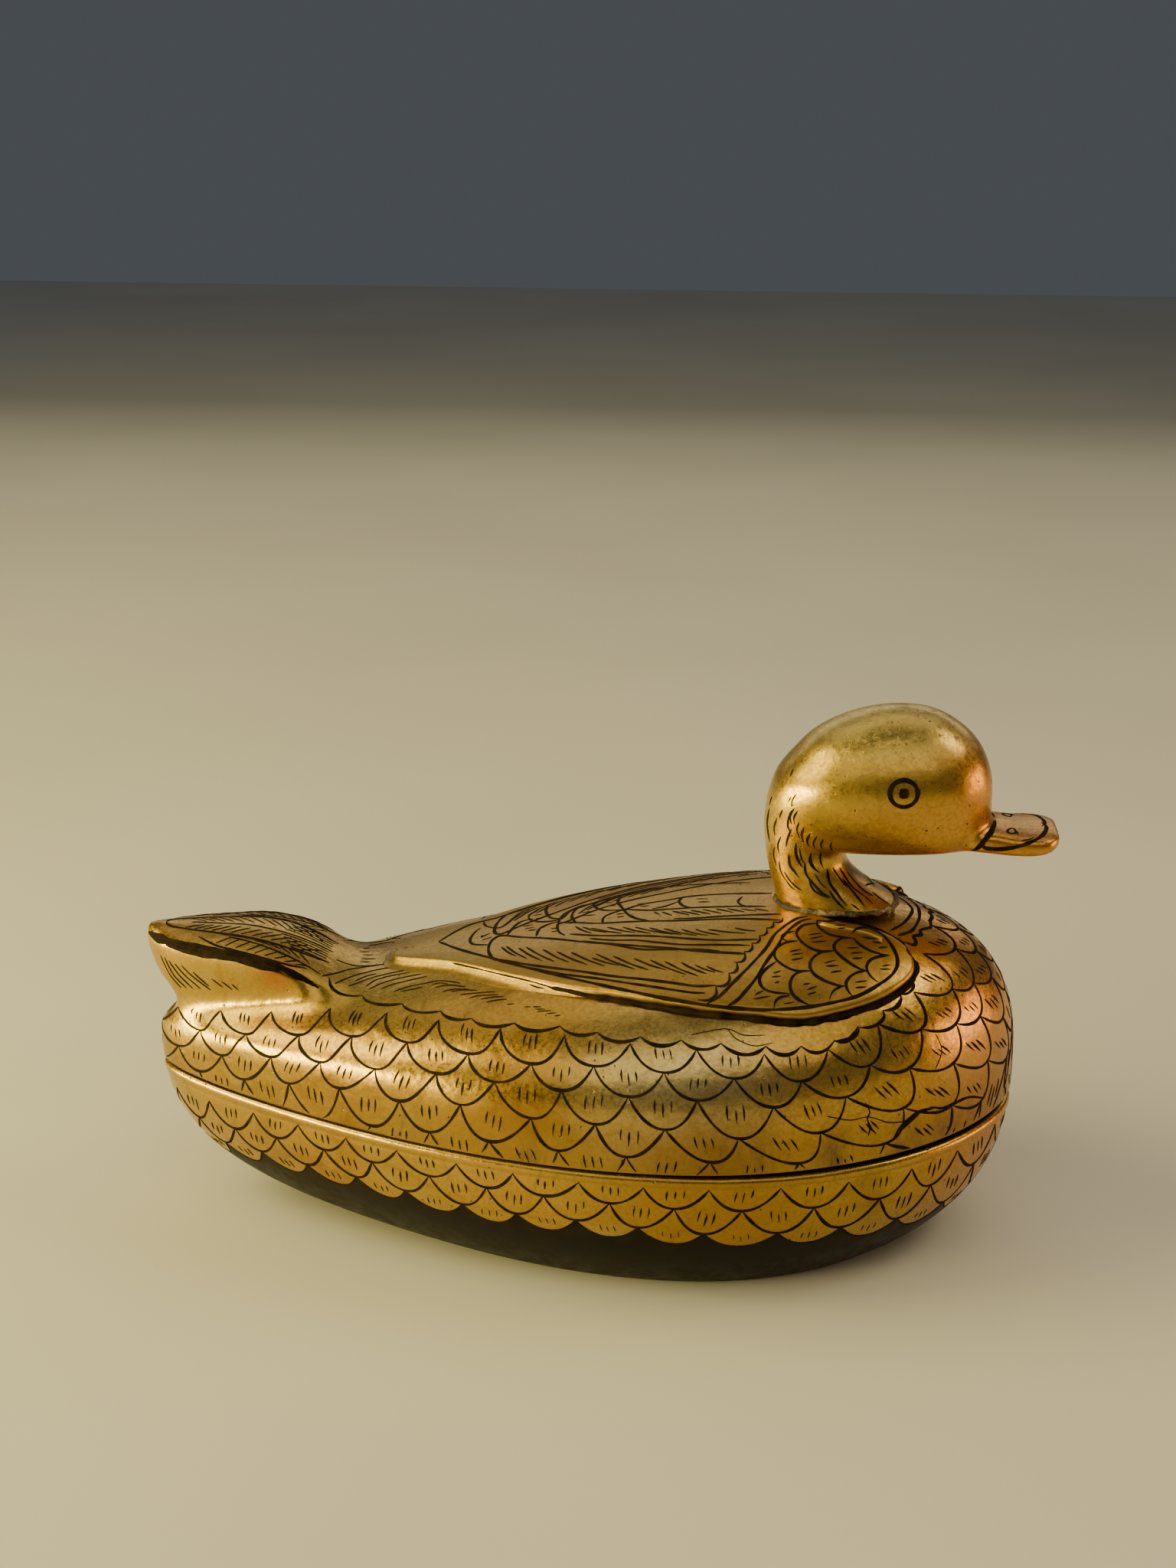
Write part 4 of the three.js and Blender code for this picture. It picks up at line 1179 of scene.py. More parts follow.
# Slanted strokes of the feathers, from and to
FEATHER_STROKES = [
    (655, 1237, 674, 1249), (661, 1236, 688, 1252), (677, 1238, 708, 1255), (687, 1237, 724, 1256),
    (709, 1240, 743, 1257), (727, 1243, 767, 1260), (746, 1244, 790, 1262), (773, 1251, 808, 1261),
    (778, 1246, 829, 1266), (801, 1249, 847, 1267), (828, 1252, 870, 1267), (849, 1254, 896, 1273),
    (868, 1256, 912, 1275), (889, 1257, 923, 1272), (907, 1260, 934, 1270), (923, 1262, 944, 1270),
    (751, 1210, 773, 1219), (761, 1211, 792, 1218), (772, 1212, 812, 1219), (793, 1211, 830, 1218),
    (813, 1211, 850, 1219), (829, 1211, 878, 1220), (848, 1212, 890, 1221), (867, 1213, 910, 1222),
    (890, 1214, 925, 1222), (908, 1214, 940, 1221), (925, 1214, 974, 1219), (960, 1212, 987, 1216),
]
# Short strokes in the lobe's scales
LOBE_STROKES = [
    (1056, 1221, 1073, 1219), (1058, 1226, 1075, 1223), (1060, 1231, 1079, 1229), (1031, 1243, 1046, 1240),
    (1034, 1247, 1049, 1245), (1034, 1254, 1049, 1251), (1107, 1238, 1122, 1238), (1111, 1245, 1127, 1244),
    (1113, 1252, 1127, 1251), (1077, 1258, 1091, 1254), (1079, 1262, 1095, 1261), (1085, 1270, 1099, 1268),
    (1090, 1209, 1104, 1208), (1094, 1213, 1104, 1212), (1126, 1224, 1145, 1227), (1139, 1230, 1152, 1232),
    (1147, 1238, 1159, 1237), (1152, 1262, 1163, 1260), (1149, 1266, 1163, 1266), (1117, 1283, 1132, 1281),
    (1117, 1290, 1132, 1289), (1049, 1286, 1058, 1284), (1054, 1293, 1067, 1288), (1054, 1299, 1066, 1296),
    (1010, 1271, 1020, 1268), (1008, 1276, 1020, 1275), (1012, 1284, 1018, 1282), (986, 1299, 997, 1294),
    (984, 1305, 1006, 1301), (1024, 1311, 1037, 1309),
]
# The cells down the middle, which aren't mirrored
MANTLE_MIDDLE = [
    (0.9, [(640, 1234), (628, 1234), (617, 1233), (614, 1227), (620, 1218), (628, 1212)]),
    (0.9, [(632, 1204), (634, 1209), (645, 1212), (655, 1211), (664, 1205), (672, 1198), (682, 1191),
     (700, 1185)]),
    (1.0, [(716, 1182), (713, 1190), (718, 1198), (727, 1200), (735, 1199), (742, 1192), (752, 1186),
     (765, 1182), (778, 1180)]),
    (0.9, [(703, 1189), (692, 1195), (692, 1201), (705, 1204), (722, 1203), (735, 1200)]),
    (0.9, [(700, 1223), (705, 1213), (717, 1207), (733, 1203)]),
    (0.9, [(662, 1222), (670, 1212), (680, 1204), (696, 1200)]),
    (0.9, [(775, 1181), (779, 1186), (790, 1189), (805, 1189), (818, 1188), (850, 1189), (880, 1187),
     (920, 1185), (1000, 1184)]),
    (1.0, [(752, 1205), (747, 1198), (750, 1190), (760, 1184), (778, 1179), (800, 1173), (830, 1166),
     (860, 1160), (900, 1156), (980, 1153)]),
    (1.0, [(812, 1170), (807, 1178), (812, 1185), (820, 1194), (832, 1200), (850, 1203)]),
    (0.9, [(787, 1206), (788, 1199), (796, 1194), (815, 1188), (840, 1181), (870, 1176), (900, 1171),
     (940, 1168), (1010, 1167)]),
    (0.85, [(893, 1171), (887, 1177), (892, 1183), (905, 1186)]),
    (0.85, [(970, 1171), (964, 1177), (968, 1182), (980, 1185)]),
    (0.8, [(852, 1187), (868, 1184), (885, 1178)]),
    (0.9, [(880, 1200), (910, 1199), (940, 1197), (980, 1195), (1020, 1194)]),
]
MIDDLE_STROKES = [
    (854, 1191, 862, 1195), (864, 1191, 878, 1196), (878, 1190, 900, 1195), (889, 1190, 915, 1195),
    (902, 1189, 928, 1194), (918, 1188, 942, 1193), (935, 1187, 958, 1192), (950, 1187, 972, 1191),
    (968, 1187, 988, 1190), (985, 1187, 1004, 1190), (760, 1192, 776, 1190), (762, 1196, 778, 1195),
    (805, 1194, 816, 1193), (806, 1198, 815, 1197), (683, 1210, 696, 1208), (686, 1213, 698, 1211),
    (690, 1216, 701, 1214), (720, 1213, 729, 1212), (720, 1217, 729, 1216), (790, 1179, 800, 1179),
    (795, 1183, 805, 1183), (832, 1181, 846, 1180), (836, 1184, 848, 1183), (910, 1174, 925, 1174),
    (912, 1178, 927, 1178), (697, 1196, 708, 1194), (700, 1200, 712, 1198), (628, 1224, 640, 1219),
    (630, 1228, 642, 1224),
]


def far_side(points):
    """The same points on the duck's left. The pattern's middle line wanders a little to that side."""
    points = np.asarray(points, float)
    x, y = points.T
    half = np.interp(x, *np.array(BORDER_HALF).T)
    middle = np.interp(x, [-47, 9, 50, 66], [-3.7, 4.5, 3, 0])
    middle = np.where(np.abs(middle) < 0.01, 0.01, middle)
    share = (np.sqrt(np.maximum(half**2 - 4 * middle * (y - middle), 0)) - half) / (2 * middle)
    return np.column_stack([x, share * half + middle * (1 - share**2)])


def between(line, x):
    """Value of a plan line at a station."""
    xs, ys = np.asarray(line).T
    order = np.argsort(xs)
    return np.interp(x, xs[order], ys[order])


class DUCKBOX_OT_mantle_paint(bpy.types.Operator):
    """Feathers, bands and lobes painted on the mantle"""

    bl_idname = "duckbox.mantle_paint"
    bl_label = "Mantle painting"

    def execute(self, context):
        brush = Brush(bpy.data.objects["gilt_mantle"], seed=11)
        width = sizes().line_width / MM * 1.15

        def line(places, share=1.0, both=True, step=1.1):
            path = seen_on(brush.trees, places)
            if len(path) > 1:
                brush.stroke(path, width * share, step=step)
                if both:
                    brush.stroke(over_back(far_side(path[:, :2])), width * share, step=step)

        for share, places in MANTLE_PAIRED:
            line(places, share)
        for share, places in MANTLE_MIDDLE:
            line(places, share, both=False)
        for a, b in zip(BAND_CUSPS, BAND_CUSPS[1:]):
            a, b = np.array(a), np.array(b)
            out = np.array([0.55, 0.42]) * np.linalg.norm(b - a) * 0.45
            line([a, a * 0.7 + b * 0.3 + out, a * 0.3 + b * 0.7 + out, b], 0.95, step=0.7)
        for x0, y0, x1, y1 in FEATHER_STROKES:
            line([(x0, y0), ((x0 + x1) / 2 - 1, (y0 + y1) / 2 + 0.8), (x1, y1)], 0.68, step=0.9)
        for x0, y0, x1, y1 in LOBE_STROKES:
            line([(x0, y0), (x1, y1)], 0.75, step=0.7)
        for x0, y0, x1, y1 in MIDDLE_STROKES:
            line([(x0, y0), (x1, y1)], 0.7, both=False, step=0.7)
        finish_piece(brush.piece("mantle_painting"), [ink_lacquer()], "lid")
        return {"FINISHED"}


# Cracks in the lacquer, as width in mm and places in the photograph's frame
CRACKS = [
    (0.35, [(1080, 1458), (1110, 1463), (1135, 1459), (1160, 1466), (1180, 1465)]),
    (0.9, [(1167, 1487), (1175, 1474), (1187, 1462), (1200, 1452), (1222, 1447)]),
    (1.5, [(1172, 1476), (1181, 1467), (1191, 1459), (1204, 1452)]),
    (1.2, [(1176, 1477), (1187, 1466), (1200, 1456)]),
    (0.9, [(1214, 1446), (1232, 1447), (1246, 1441), (1266, 1433), (1286, 1434)]),
    (0.7, [(1226, 1449), (1240, 1444), (1250, 1441)]),
    (0.4, [(1130, 1440), (1136, 1452), (1133, 1462), (1140, 1476)]),
    (0.9, [(1133, 1464), (1136, 1474), (1134, 1484)]),
    (0.3, [(902, 1352), (925, 1347), (950, 1344), (972, 1352), (1000, 1352)]),
    (0.3, [(950, 1344), (962, 1357), (985, 1366), (1010, 1362)]),
    (0.3, [(1222, 1350), (1230, 1372), (1222, 1396)]),
]
# Thin hatching between tail and mantle, as places in the photograph's frame
HATCHING = [
    [(470, 1243), (483, 1243)], [(474, 1247), (487, 1247)], [(472, 1252), (491, 1252)],
    [(470, 1256), (483, 1256)], [(474, 1239), (483, 1238)], [(451, 1225), (482, 1223), (512, 1222)],
    [(458, 1222), (493, 1219), (524, 1217)], [(485, 1229), (505, 1227), (524, 1225)],
    [(482, 1235), (501, 1232), (516, 1230)], [(462, 1228), (478, 1227)], [(512, 1215), (535, 1212)],
    [(516, 1220), (535, 1217)], [(420, 1275), (439, 1271), (462, 1265), (497, 1260), (535, 1259)],
    [(437, 1285), (453, 1278), (470, 1272), (501, 1265), (543, 1263)],
    [(455, 1288), (472, 1282), (489, 1276), (520, 1269), (545, 1265)],
    [(464, 1281), (478, 1275), (491, 1272)], [(478, 1288), (491, 1280), (508, 1275), (535, 1270)],
    [(482, 1292), (499, 1284), (520, 1278), (551, 1272)],
    [(497, 1292), (512, 1286), (532, 1281), (558, 1275)],
    [(514, 1295), (532, 1289), (551, 1285), (572, 1281)], [(523, 1295), (539, 1292), (553, 1289)],
    [(562, 1283), (574, 1281), (589, 1282), (601, 1284)],
    [(568, 1290), (580, 1287), (593, 1287), (608, 1289)], [(564, 1286), (574, 1284), (585, 1285)],
    [(578, 1295), (593, 1292), (612, 1292)], [(589, 1295), (605, 1293), (624, 1294)],
    [(601, 1299), (624, 1297), (647, 1295)], [(612, 1304), (622, 1301), (632, 1300), (651, 1299)],
    [(628, 1305), (647, 1302), (658, 1302)], [(635, 1309), (651, 1306), (662, 1305)],
    [(662, 1312), (672, 1311)], [(685, 1315), (693, 1315)], [(696, 1315), (707, 1315)],
    [(699, 1318), (712, 1318)], [(701, 1321), (720, 1320)], [(714, 1324), (726, 1323)],
    [(724, 1327), (732, 1326)],
]
# Bold scalloped line where the mantle's front meets the breast
FRONT_SCALLOPS = [
    [(1066, 1202), (1085, 1203), (1110, 1204), (1130, 1208), (1150, 1215), (1165, 1222)],
    [(1165, 1222), (1178, 1232), (1188, 1244), (1196, 1256), (1199, 1267), (1196, 1275), (1190, 1280)],
    [(1190, 1280), (1194, 1286), (1191, 1293), (1184, 1298), (1176, 1299)],
    [(1176, 1299), (1177, 1305), (1172, 1314), (1163, 1319), (1153, 1320)],
    [(1153, 1320), (1155, 1327), (1151, 1334), (1142, 1340), (1132, 1342), (1122, 1342)],
    [(1122, 1342), (1120, 1350), (1110, 1357), (1098, 1359), (1089, 1360)],
]
# Black lacquer left along the mantle's foot: width in mm and places
FOOT_STROKES = [
    (0.6, [(590, 1258), (620, 1264), (650, 1272), (690, 1282), (730, 1292)]),
    (1.3, [(715, 1288), (745, 1295), (775, 1300), (800, 1305)]),
    (2.2, [(780, 1301), (820, 1309), (860, 1316), (900, 1322), (940, 1326)]),
    (1.6, [(830, 1313), (870, 1320), (910, 1326), (950, 1330)]),
    (2.4, [(920, 1325), (960, 1329), (1000, 1332), (1040, 1333), (1075, 1330)]),
    (1.8, [(1000, 1336), (1040, 1337), (1070, 1335)]),
    (2.0, [(1060, 1331), (1085, 1327), (1105, 1321), (1125, 1315)]),
    (0.8, [(1100, 1324), (1120, 1319), (1142, 1311)]), (0.5, [(690, 1286), (700, 1289), (712, 1290)]),
    (0.6, [(1086, 1334), (1104, 1329), (1116, 1325)]),
]


# Necklace in front of the neck, as plan points up to the middle line: share of the line's width, and points
NECKLACE = [
    (1.1, [(90.8, -16.8), (94.8, -11.2), (97.3, -4.5), (98.1, 0)]),
    (1.2, [(92.9, -18.6), (97.3, -14), (99.8, -6), (100.2, 0)]),
]
RAGGED_LINE = [(95.1, -20.8), (97, -20.9), (98.9, -16.1), (101.7, -10.7), (103.5, -5.3), (104.3, 0)]


def with_mirror(half):
    """A line that ends on the middle, and its mirror image, as one."""
    return np.vstack([half, mirrored(half[:-1])[::-1]])


class DUCKBOX_OT_crease(bpy.types.Operator):
    """Black lacquer left in the crease below the mantle's front"""

    bl_idname = "duckbox.crease"
    bl_label = "Mantle crease"

    def execute(self, context):
        points, outward = mantle_outline(420)
        dice = random.Random(12)
        for side, name in ((-1, "mantle_crease_right"), (1, "mantle_crease_left")):
            x, y = points[:, 0], points[:, 1] * side
            at = np.flatnonzero((y > 20) & (x > -12))
            at = at[np.argsort(np.arctan2(y[at], x[at] - 20))]
            base, out = points[at], outward[at]
            count, sides = len(at), 10
            knots = [dice.uniform(0.8, 1.7) for _ in range(count // 3 + 2)]
            size = np.interp(np.arange(count), np.arange(len(knots)) * 3, knots)
            size *= np.clip(np.minimum(np.arange(count) + 1, count - np.arange(count)) / 14, 0.12, 1)
            middle = on_back(*(base + out * 0.5).T, 0.2)
            turn = 2 * np.pi * np.arange(sides) / sides
            flat = np.column_stack([out, np.zeros(count)])
            upright = np.array([0, 0, 1.0]) * np.sin(turn)[:, None] * 0.7
            rings = [
                m + (f * np.cos(turn)[:, None] * 0.95 + upright) * r for m, f, r in zip(middle, flat, size)
            ]
            finish_piece(skin(name, capped(rings)), [ink_lacquer()], "lid")
        return {"FINISHED"}


class DUCKBOX_OT_lid_paint(bpy.types.Operator):
    """Scales, scalloped line, necklace and hatching painted on the lid, and the black at the mantle's foot"""

    bl_idname = "duckbox.lid_paint"
    bl_label = "Lid painting"

    def execute(self, context):
        lid = bpy.data.objects["gilt_lid"]
        brush = Brush(lid, seed=5)
        width = sizes().line_width / MM

        def above_rim(path):
            return path[:, 2] > rim_height(path[:, 0]) + UNPAINTED_RIM

        for row in range(ROW_COUNT):
            for left, right, low in scales_of(scale_row(row), scale_row(row + 1), row % 2 == 1):
                paint_scale(brush, left, right, low, width, above_rim)
        finish_piece(brush.piece("lid_scale_lines"), [ink_lacquer()], "lid")

        brush = Brush(lid, seed=6)
        bold = sizes().scallop_width / MM
        for (a, za), (b, zb) in zip(SCALLOP_LINE, SCALLOP_LINE[1:]):
            for side in (1, -1):
                ends = flank_point(side * np.array([a, b]), np.array([za, zb]))[:, :2]
                middle = ends.mean(axis=0)
                slope = np.array([back_height(*(middle + [0.5, 0])) - back_height(*(middle - [0.5, 0])),
                                  back_height(*(middle + [0, 0.5])) - back_height(*(middle - [0, 0.5]))])
                down = -slope / np.hypot(*slope)
                depth = 0.15 * np.hypot(*(ends[1] - ends[0]))
                u = np.linspace(-1, 1, 9)[:, None]
                plan = middle + (ends[1] - ends[0]) / 2 * u + down * depth * (1 - np.abs(u) ** HANG_POWER)
                brush.stroke(over_back(plan, 0), bold * brush.random.uniform(0.85, 1.15), step=0.9)
        for share, points in NECKLACE:
            brush.stroke(over_back(with_mirror(points), 0), width * share)
        ragged = smooth_path(with_mirror(RAGGED_LINE), 2.2)
        ragged += np.column_stack([[brush.random.uniform(-0.9, 0.9) for _ in ragged], [0] * len(ragged)])
        brush.stroke(over_back(ragged, 0), width * 1.3, step=0.7)
        for places in HATCHING:
            path = seen_on(brush.trees, places)
            if len(path) > 1:
                brush.stroke(path, width * 0.55, step=0.8)
                brush.stroke(over_back(far_side(path[:, :2]), 0), width * 0.55, step=0.8)
        for crack_width, places in CRACKS:
            brush.stroke(seen_on(brush.trees, places), crack_width, step=0.6)
        brush.trees.append(surface_tree(bpy.data.objects["gilt_mantle"]))
        for places in FRONT_SCALLOPS:
            brush.pair(seen_on(brush.trees, places), bold * 1.1, 0.7)
        for foot_width, places in FOOT_STROKES:
            path = seen_on(brush.trees, places)
            path += np.array([[brush.random.uniform(-0.25, 0.25) for _ in range(3)] for _ in path])
            brush.pair(path, foot_width, 0.7)
        finish_piece(brush.piece("lid_band_lines"), [ink_lacquer()], "lid")
        return {"FINISHED"}


# Lines of the tail on its right half as plan points, and further on the strokes of its side as x and height
TAIL_LEAF = [
    (-134, 0), (-133, -2.2), (-129.5, -4), (-119.3, -6.4), (-108.7, -8.5), (-98, -9.9), (-88.7, -9.8),
    (-81, -8),
]
TAIL_OUTER = [(-121.5, -9.5), (-113.7, -15), (-101.9, -18.6), (-92.5, -19.2), (-86, -17)]
TAIL_MIDDLE = [(-121, -8), (-103, -12), (-82, -16.5)]
# Black strokes along the tail's rubbed edge: share of the half width, from and to as shares of the length,
# number of points, drop and width in mm
TAIL_RUBS = [(0.93, 0.012, 0.86, 16, 0.0, 3.0), (0.985, 0.12, 0.7, 12, 1.0, 2.3)]
TAIL_SIDE_STROKES = [
    [(-133.9, 82.5), (-131.6, 77.2), (-128.1, 72.4)], [(-132.2, 82.4), (-129.5, 76.7), (-125.9, 72.8)],
    [(-130.6, 81.9), (-127.3, 77.1), (-123.6, 73.1)], [(-128.5, 81.4), (-125.2, 77.6), (-120.8, 73.6)],
    [(-126.2, 81.4), (-121.7, 77.2), (-117.3, 73.8)], [(-122.3, 79.9), (-117.7, 75.2)],
    [(-116.3, 78.7), (-113, 75.7)], [(-112.9, 78.1), (-109.8, 75.3)], [(-109.7, 77.6), (-107.7, 75.5)],
]


class DUCKBOX_OT_tail_paint(bpy.types.Operator):
    """Leaf-shaped feathers on the tail, the black along its edge and strokes on its side"""

    bl_idname = "duckbox.tail_paint"
    bl_label = "Tail painting"

    def execute(self, context):
        brush = Brush(bpy.data.objects["gilt_lid"], seed=8)
        width = sizes().line_width / MM

        def top(points):
            points = np.asarray(points, float)
            share = np.clip((points[:, 0] - TAIL_TIP_X) / TAIL_LENGTH, 0.01, 1)
            across = points[:, 1] / tail_half(share)
            level = np.array([tail_top(s) for s in share])
            return np.column_stack([points, level + TAIL_CROWN - (SHOULDER_DROP + TAIL_CROWN) * across**2])

        def both(points, share, step=1.0):
            brush.stroke(top(points), width * share, step=step)
            brush.stroke(top(mirrored(points)), width * share, step=step)

        leaf, outer = TAIL_LEAF, TAIL_OUTER
        both(leaf, 1.0)
        brush.stroke(top([(-126, 0.4), (-110, 0), (-97, -0.6), (-81, 0)]), width * 0.8)
        both(outer, 0.9)
        both([(-112, -9.6), (-103.3, -12), (-93.6, -14.4), (-82, -16.5)], 0.8)
        x = -127.0
        while x < -88:
            half = -between(leaf, x)
            if half > 3:
                both([(x, -half * 0.86), (x + 5.5, -half * 0.3)], 0.6, 0.8)
            if x > -116:
                low, high = -between(outer, x), -between(TAIL_MIDDLE, x)
                both([(x, -low * 0.95), (x + 4.2, -high - 0.5)], 0.55, 0.8)
                both([(x, -half - 0.6), (x + 4.0, -high + 0.6)], 0.55, 0.8)
            x += brush.random.uniform(2.6, 3.6)
        for j in range(5):
            both([(-97 + j, -2.2 - 1.7 * j), (-82, -1.6 - 1.6 * j)], 0.55)
        # black rubbed edge
        for side in (-1, 1):
            for out, start, end, count, drop, thick in TAIL_RUBS:
                shares = np.linspace(start, end, count)
                rim = np.array([(TAIL_TIP_X + TAIL_LENGTH * s, side * tail_half(s) * out) for s in shares])
                brush.stroke(top(rim) - [0, 0, drop], thick, step=0.9)
        for points in TAIL_SIDE_STROKES:
            for side in (-1, 1):
                half = [side * tail_half((px - TAIL_TIP_X) / TAIL_LENGTH) * 0.9 for px, pz in points]
                path = [(px, py, pz) for (px, pz), py in zip(points, half)]
                brush.stroke(path, width * 0.55, step=0.8)
        finish_piece(brush.piece("tail_painting"), [ink_lacquer()], "lid")
        return {"FINISHED"}


# Neck levels: height as a share of the jaw's rise, back, front and half width as shares of the neck's
NECK_LEVELS = [
    (-0.6, -0.66, 2.5, 1.22), (-0.2, -0.72, 2.2, 1.15), (0.02, -0.79, 1.8, 1.09), (0.17, -0.85, 1.48, 1.06),
    (0.36, -0.92, 1.13, 1.02), (0.55, -0.98, 0.88, 1.0), (0.76, -1.04, 0.75, 0.99), (1.1, -1.08, 0.8, 1.07),
    (1.5, -1.08, 1.2, 1.1),
]
# Head levels: height, back, front and half width as shares of the head's height, length and half width
HEAD_LEVELS = [
    (0, 0.012, 0.955, 0.62), (0.05, 0, 0.985, 0.76), (0.17, 0, 1, 0.88), (0.34, 0.016, 0.998, 0.98),
    (0.5, 0.05, 0.994, 1), (0.65, 0.122, 0.966, 0.93), (0.78, 0.2, 0.915, 0.79), (0.89, 0.315, 0.835, 0.59),
    (0.97, 0.46, 0.735, 0.33), (1.0, 0.595, 0.6, 0.02),
]
BILL_STATIONS = [
    (-0.6, 1, 0.05, 0.9), (0, 0.94, -0.06, 0.93), (0.28, 0.85, -0.08, 0.97), (0.55, 0.82, -0.07, 1),
    (0.74, 0.81, 0.0, 0.98), (0.88, 0.79, 0.1, 0.87), (0.97, 0.76, 0.24, 0.66), (1.0, 0.7, 0.36, 0.5),
]


def oval(back, front, half, level, power, count=96):
    angle = 2 * np.pi * (np.arange(count) + 0.5) / count
    c, s = np.cos(angle), np.sin(angle)
    x = (front + back) / 2 + (front - back) / 2 * np.sign(c) * np.abs(c) ** (2 / power)
    return stack(NECK_X + x, half * np.sign(s) * np.abs(s) ** (2 / power), SEAT_Z + level)


def neck_ring(level, back, front, half, grow=0.0):
    back, front, half = (share * NECK_HALF for share in (back, front, half))
    return oval(back - grow, front + grow, half + grow, level * JAW_RISE, NECK_POWER)


class DUCKBOX_OT_head(bpy.types.Operator):
    """Head, bill and neck carved from one piece, cut below to the mantle"""

    bl_idname = "duckbox.head"
    bl_label = "Head and neck"

    def execute(self, context):
        neck_rings = [neck_ring(*row) for row in table_curve(NECK_LEVELS, 5)]
        neck = skin("neck", capped(neck_rings))
        head_rings = [
            oval(back * HEAD_LENGTH - HEAD_BACK, front * HEAD_LENGTH - HEAD_BACK, max(half, 0.01) * HEAD_HALF,
                 JAW_RISE + height * HEAD_HEIGHT, HEAD_POWER)
            for height, back, front, half in table_curve(HEAD_LEVELS, 5)
        ]
        head = skin("head", capped(head_rings))
        bill_rings = []
        angle = 2 * np.pi * (np.arange(64) + 0.5) / 64
        across = np.sign(np.cos(angle)) * np.abs(np.cos(angle)) ** (2 / 2.5)
        up = np.sign(np.sin(angle)) * np.abs(np.sin(angle)) ** (2 / 4.5)
        base = NECK_X - HEAD_BACK + HEAD_LENGTH
        for along, top, bottom, half in table_curve(BILL_STATIONS, 5):
            z = SEAT_Z + JAW_RISE + ((top + bottom) / 2 + (top - bottom) / 2 * up) * BILL_THICKNESS
            x = np.full(len(angle), base + along * BILL_LENGTH)
            bill_rings.append(np.stack([x, across * half * BILL_HALF, z], axis=1))
        bill = skin("bill", capped(bill_rings))
        ob = fuse("gilt_head", [neck, head, bill], sizes().head_voxel, 2.6, 16)
        cut(ob, self.seat())
        smooth_by_angle(ob, 45)
        gold = gilt_lacquer("gilt_head_lacquer", worn=0.8, rough=0.3, crown_wear_and_sheen=True, tints_and_painted_light=HEAD_TINT_AND_PAINTED_SHADE)
        finish_piece(ob, [gold], "lid", ["head_and_neck"])
        return {"FINISHED"}

    def seat(self):
        """Cutter with the mantle's top, a hair above it."""
        count = 96
        angle = 2 * np.pi * np.arange(count) / count
        rings = [np.tile([NECK_X + 8, 0.0, 70.0], (count, 1))]
        for radius in (46, 46, 36, 27, 18, 9, 0):
            x, y = NECK_X + 8 + radius * np.cos(angle), radius * np.sin(angle)
            # the second ring is the edge of the cutter's flat underside
            rings.append(stack(x, y, 70.0) if len(rings) == 1 else on_back(x, y, MANTLE_RISE + 0.35))
        return skin("seat_cutter", rings)


def neck_foot(grow, count=200):
    """Where the neck meets the mantle, grown by grow: points of the line all round."""
    rows = table_curve(NECK_LEVELS, 12)
    angle = 2 * np.pi * (np.arange(count) + 0.5) / count
    c, s = np.cos(angle), np.sin(angle)
    level = np.zeros(count)
    for _ in range(12):
        back, front, half = (np.interp(level, rows[:, 0], rows[:, k]) * NECK_HALF for k in (1, 2, 3))
        reach = (front - back) / 2 + grow
        x = NECK_X + (front + back) / 2 + reach * np.sign(c) * np.abs(c) ** (2 / NECK_POWER)
        y = (half + grow) * np.sign(s) * np.abs(s) ** (2 / NECK_POWER)
        z = back_height(x, y) + MANTLE_RISE
        level = (z - SEAT_Z) / JAW_RISE
    return np.column_stack([x, y, z])


class DUCKBOX_OT_putty(bpy.types.Operator):
    """Bead of lacquer putty round the foot of the neck, pressed on by hand"""

    bl_idname = "duckbox.putty"
    bl_label = "Neck putty"

    def execute(self, context):
        count, sides = 260, 14
        line = neck_foot(0.35, count)
        along = np.roll(line, -1, 0) - np.roll(line, 1, 0)
        along /= np.linalg.norm(along, axis=1, keepdims=True)
        outward = np.cross(along, [0, 0, 1.0])
        outward /= np.linalg.norm(outward, axis=1, keepdims=True)
        dice = random.Random(4)
        knots = np.array([dice.uniform(0.55, 1.4) for _ in range(54)])
        size = np.interp(np.arange(count) / count * 54, np.arange(55), np.append(knots, knots[0]))
        rings = []
        for k in range(sides):
            turn = 2 * np.pi * k / sides
            lump = [1 + 0.16 * math.sin(i * 0.9 + k * 1.7) * math.sin(i * 0.23 + k) for i in range(count)]
            r = (size * lump)[:, None]
            upward = np.array([0, 0, 1.0]) * (math.sin(turn) * r * 0.85 + 0.1)
            rings.append(line + outward * math.cos(turn) * r + upward)
        bead = skin("neck_putty_bead", [*rings, rings[0]])
        finish_piece(bead, [crusty_putty()], "lid", ["neck_putty"])
        return {"FINISHED"}


class DUCKBOX_OT_peg(bpy.types.Operator):
    """Peg that holds the head, with a bevelled end inside the lid"""

    bl_idname = "duckbox.peg"
    bl_label = "Neck peg"

    def execute(self, context):
        low, high = (Vector(corner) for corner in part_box("neck_dowel"))
        deselect()
        bpy.ops.mesh.primitive_cylinder_add(
            vertices=48, radius=(high.x - low.x) / 2, depth=high.z - low.z, location=(low + high) / 2
        )
        peg = bpy.context.object
        peg.name = peg.data.name = "neck_peg"
        bpy.ops.object.transform_apply(location=True, rotation=True, scale=True)
        corner = math.radians(60)
        apply_modifier(peg, "BEVEL", width=0.8 * MM, segments=3, limit_method="ANGLE", angle_limit=corner)
        smooth_by_angle(peg, 30)
        finish_piece(peg, [peg_wood()], "lid", ["neck_dowel"])
        return {"FINISHED"}


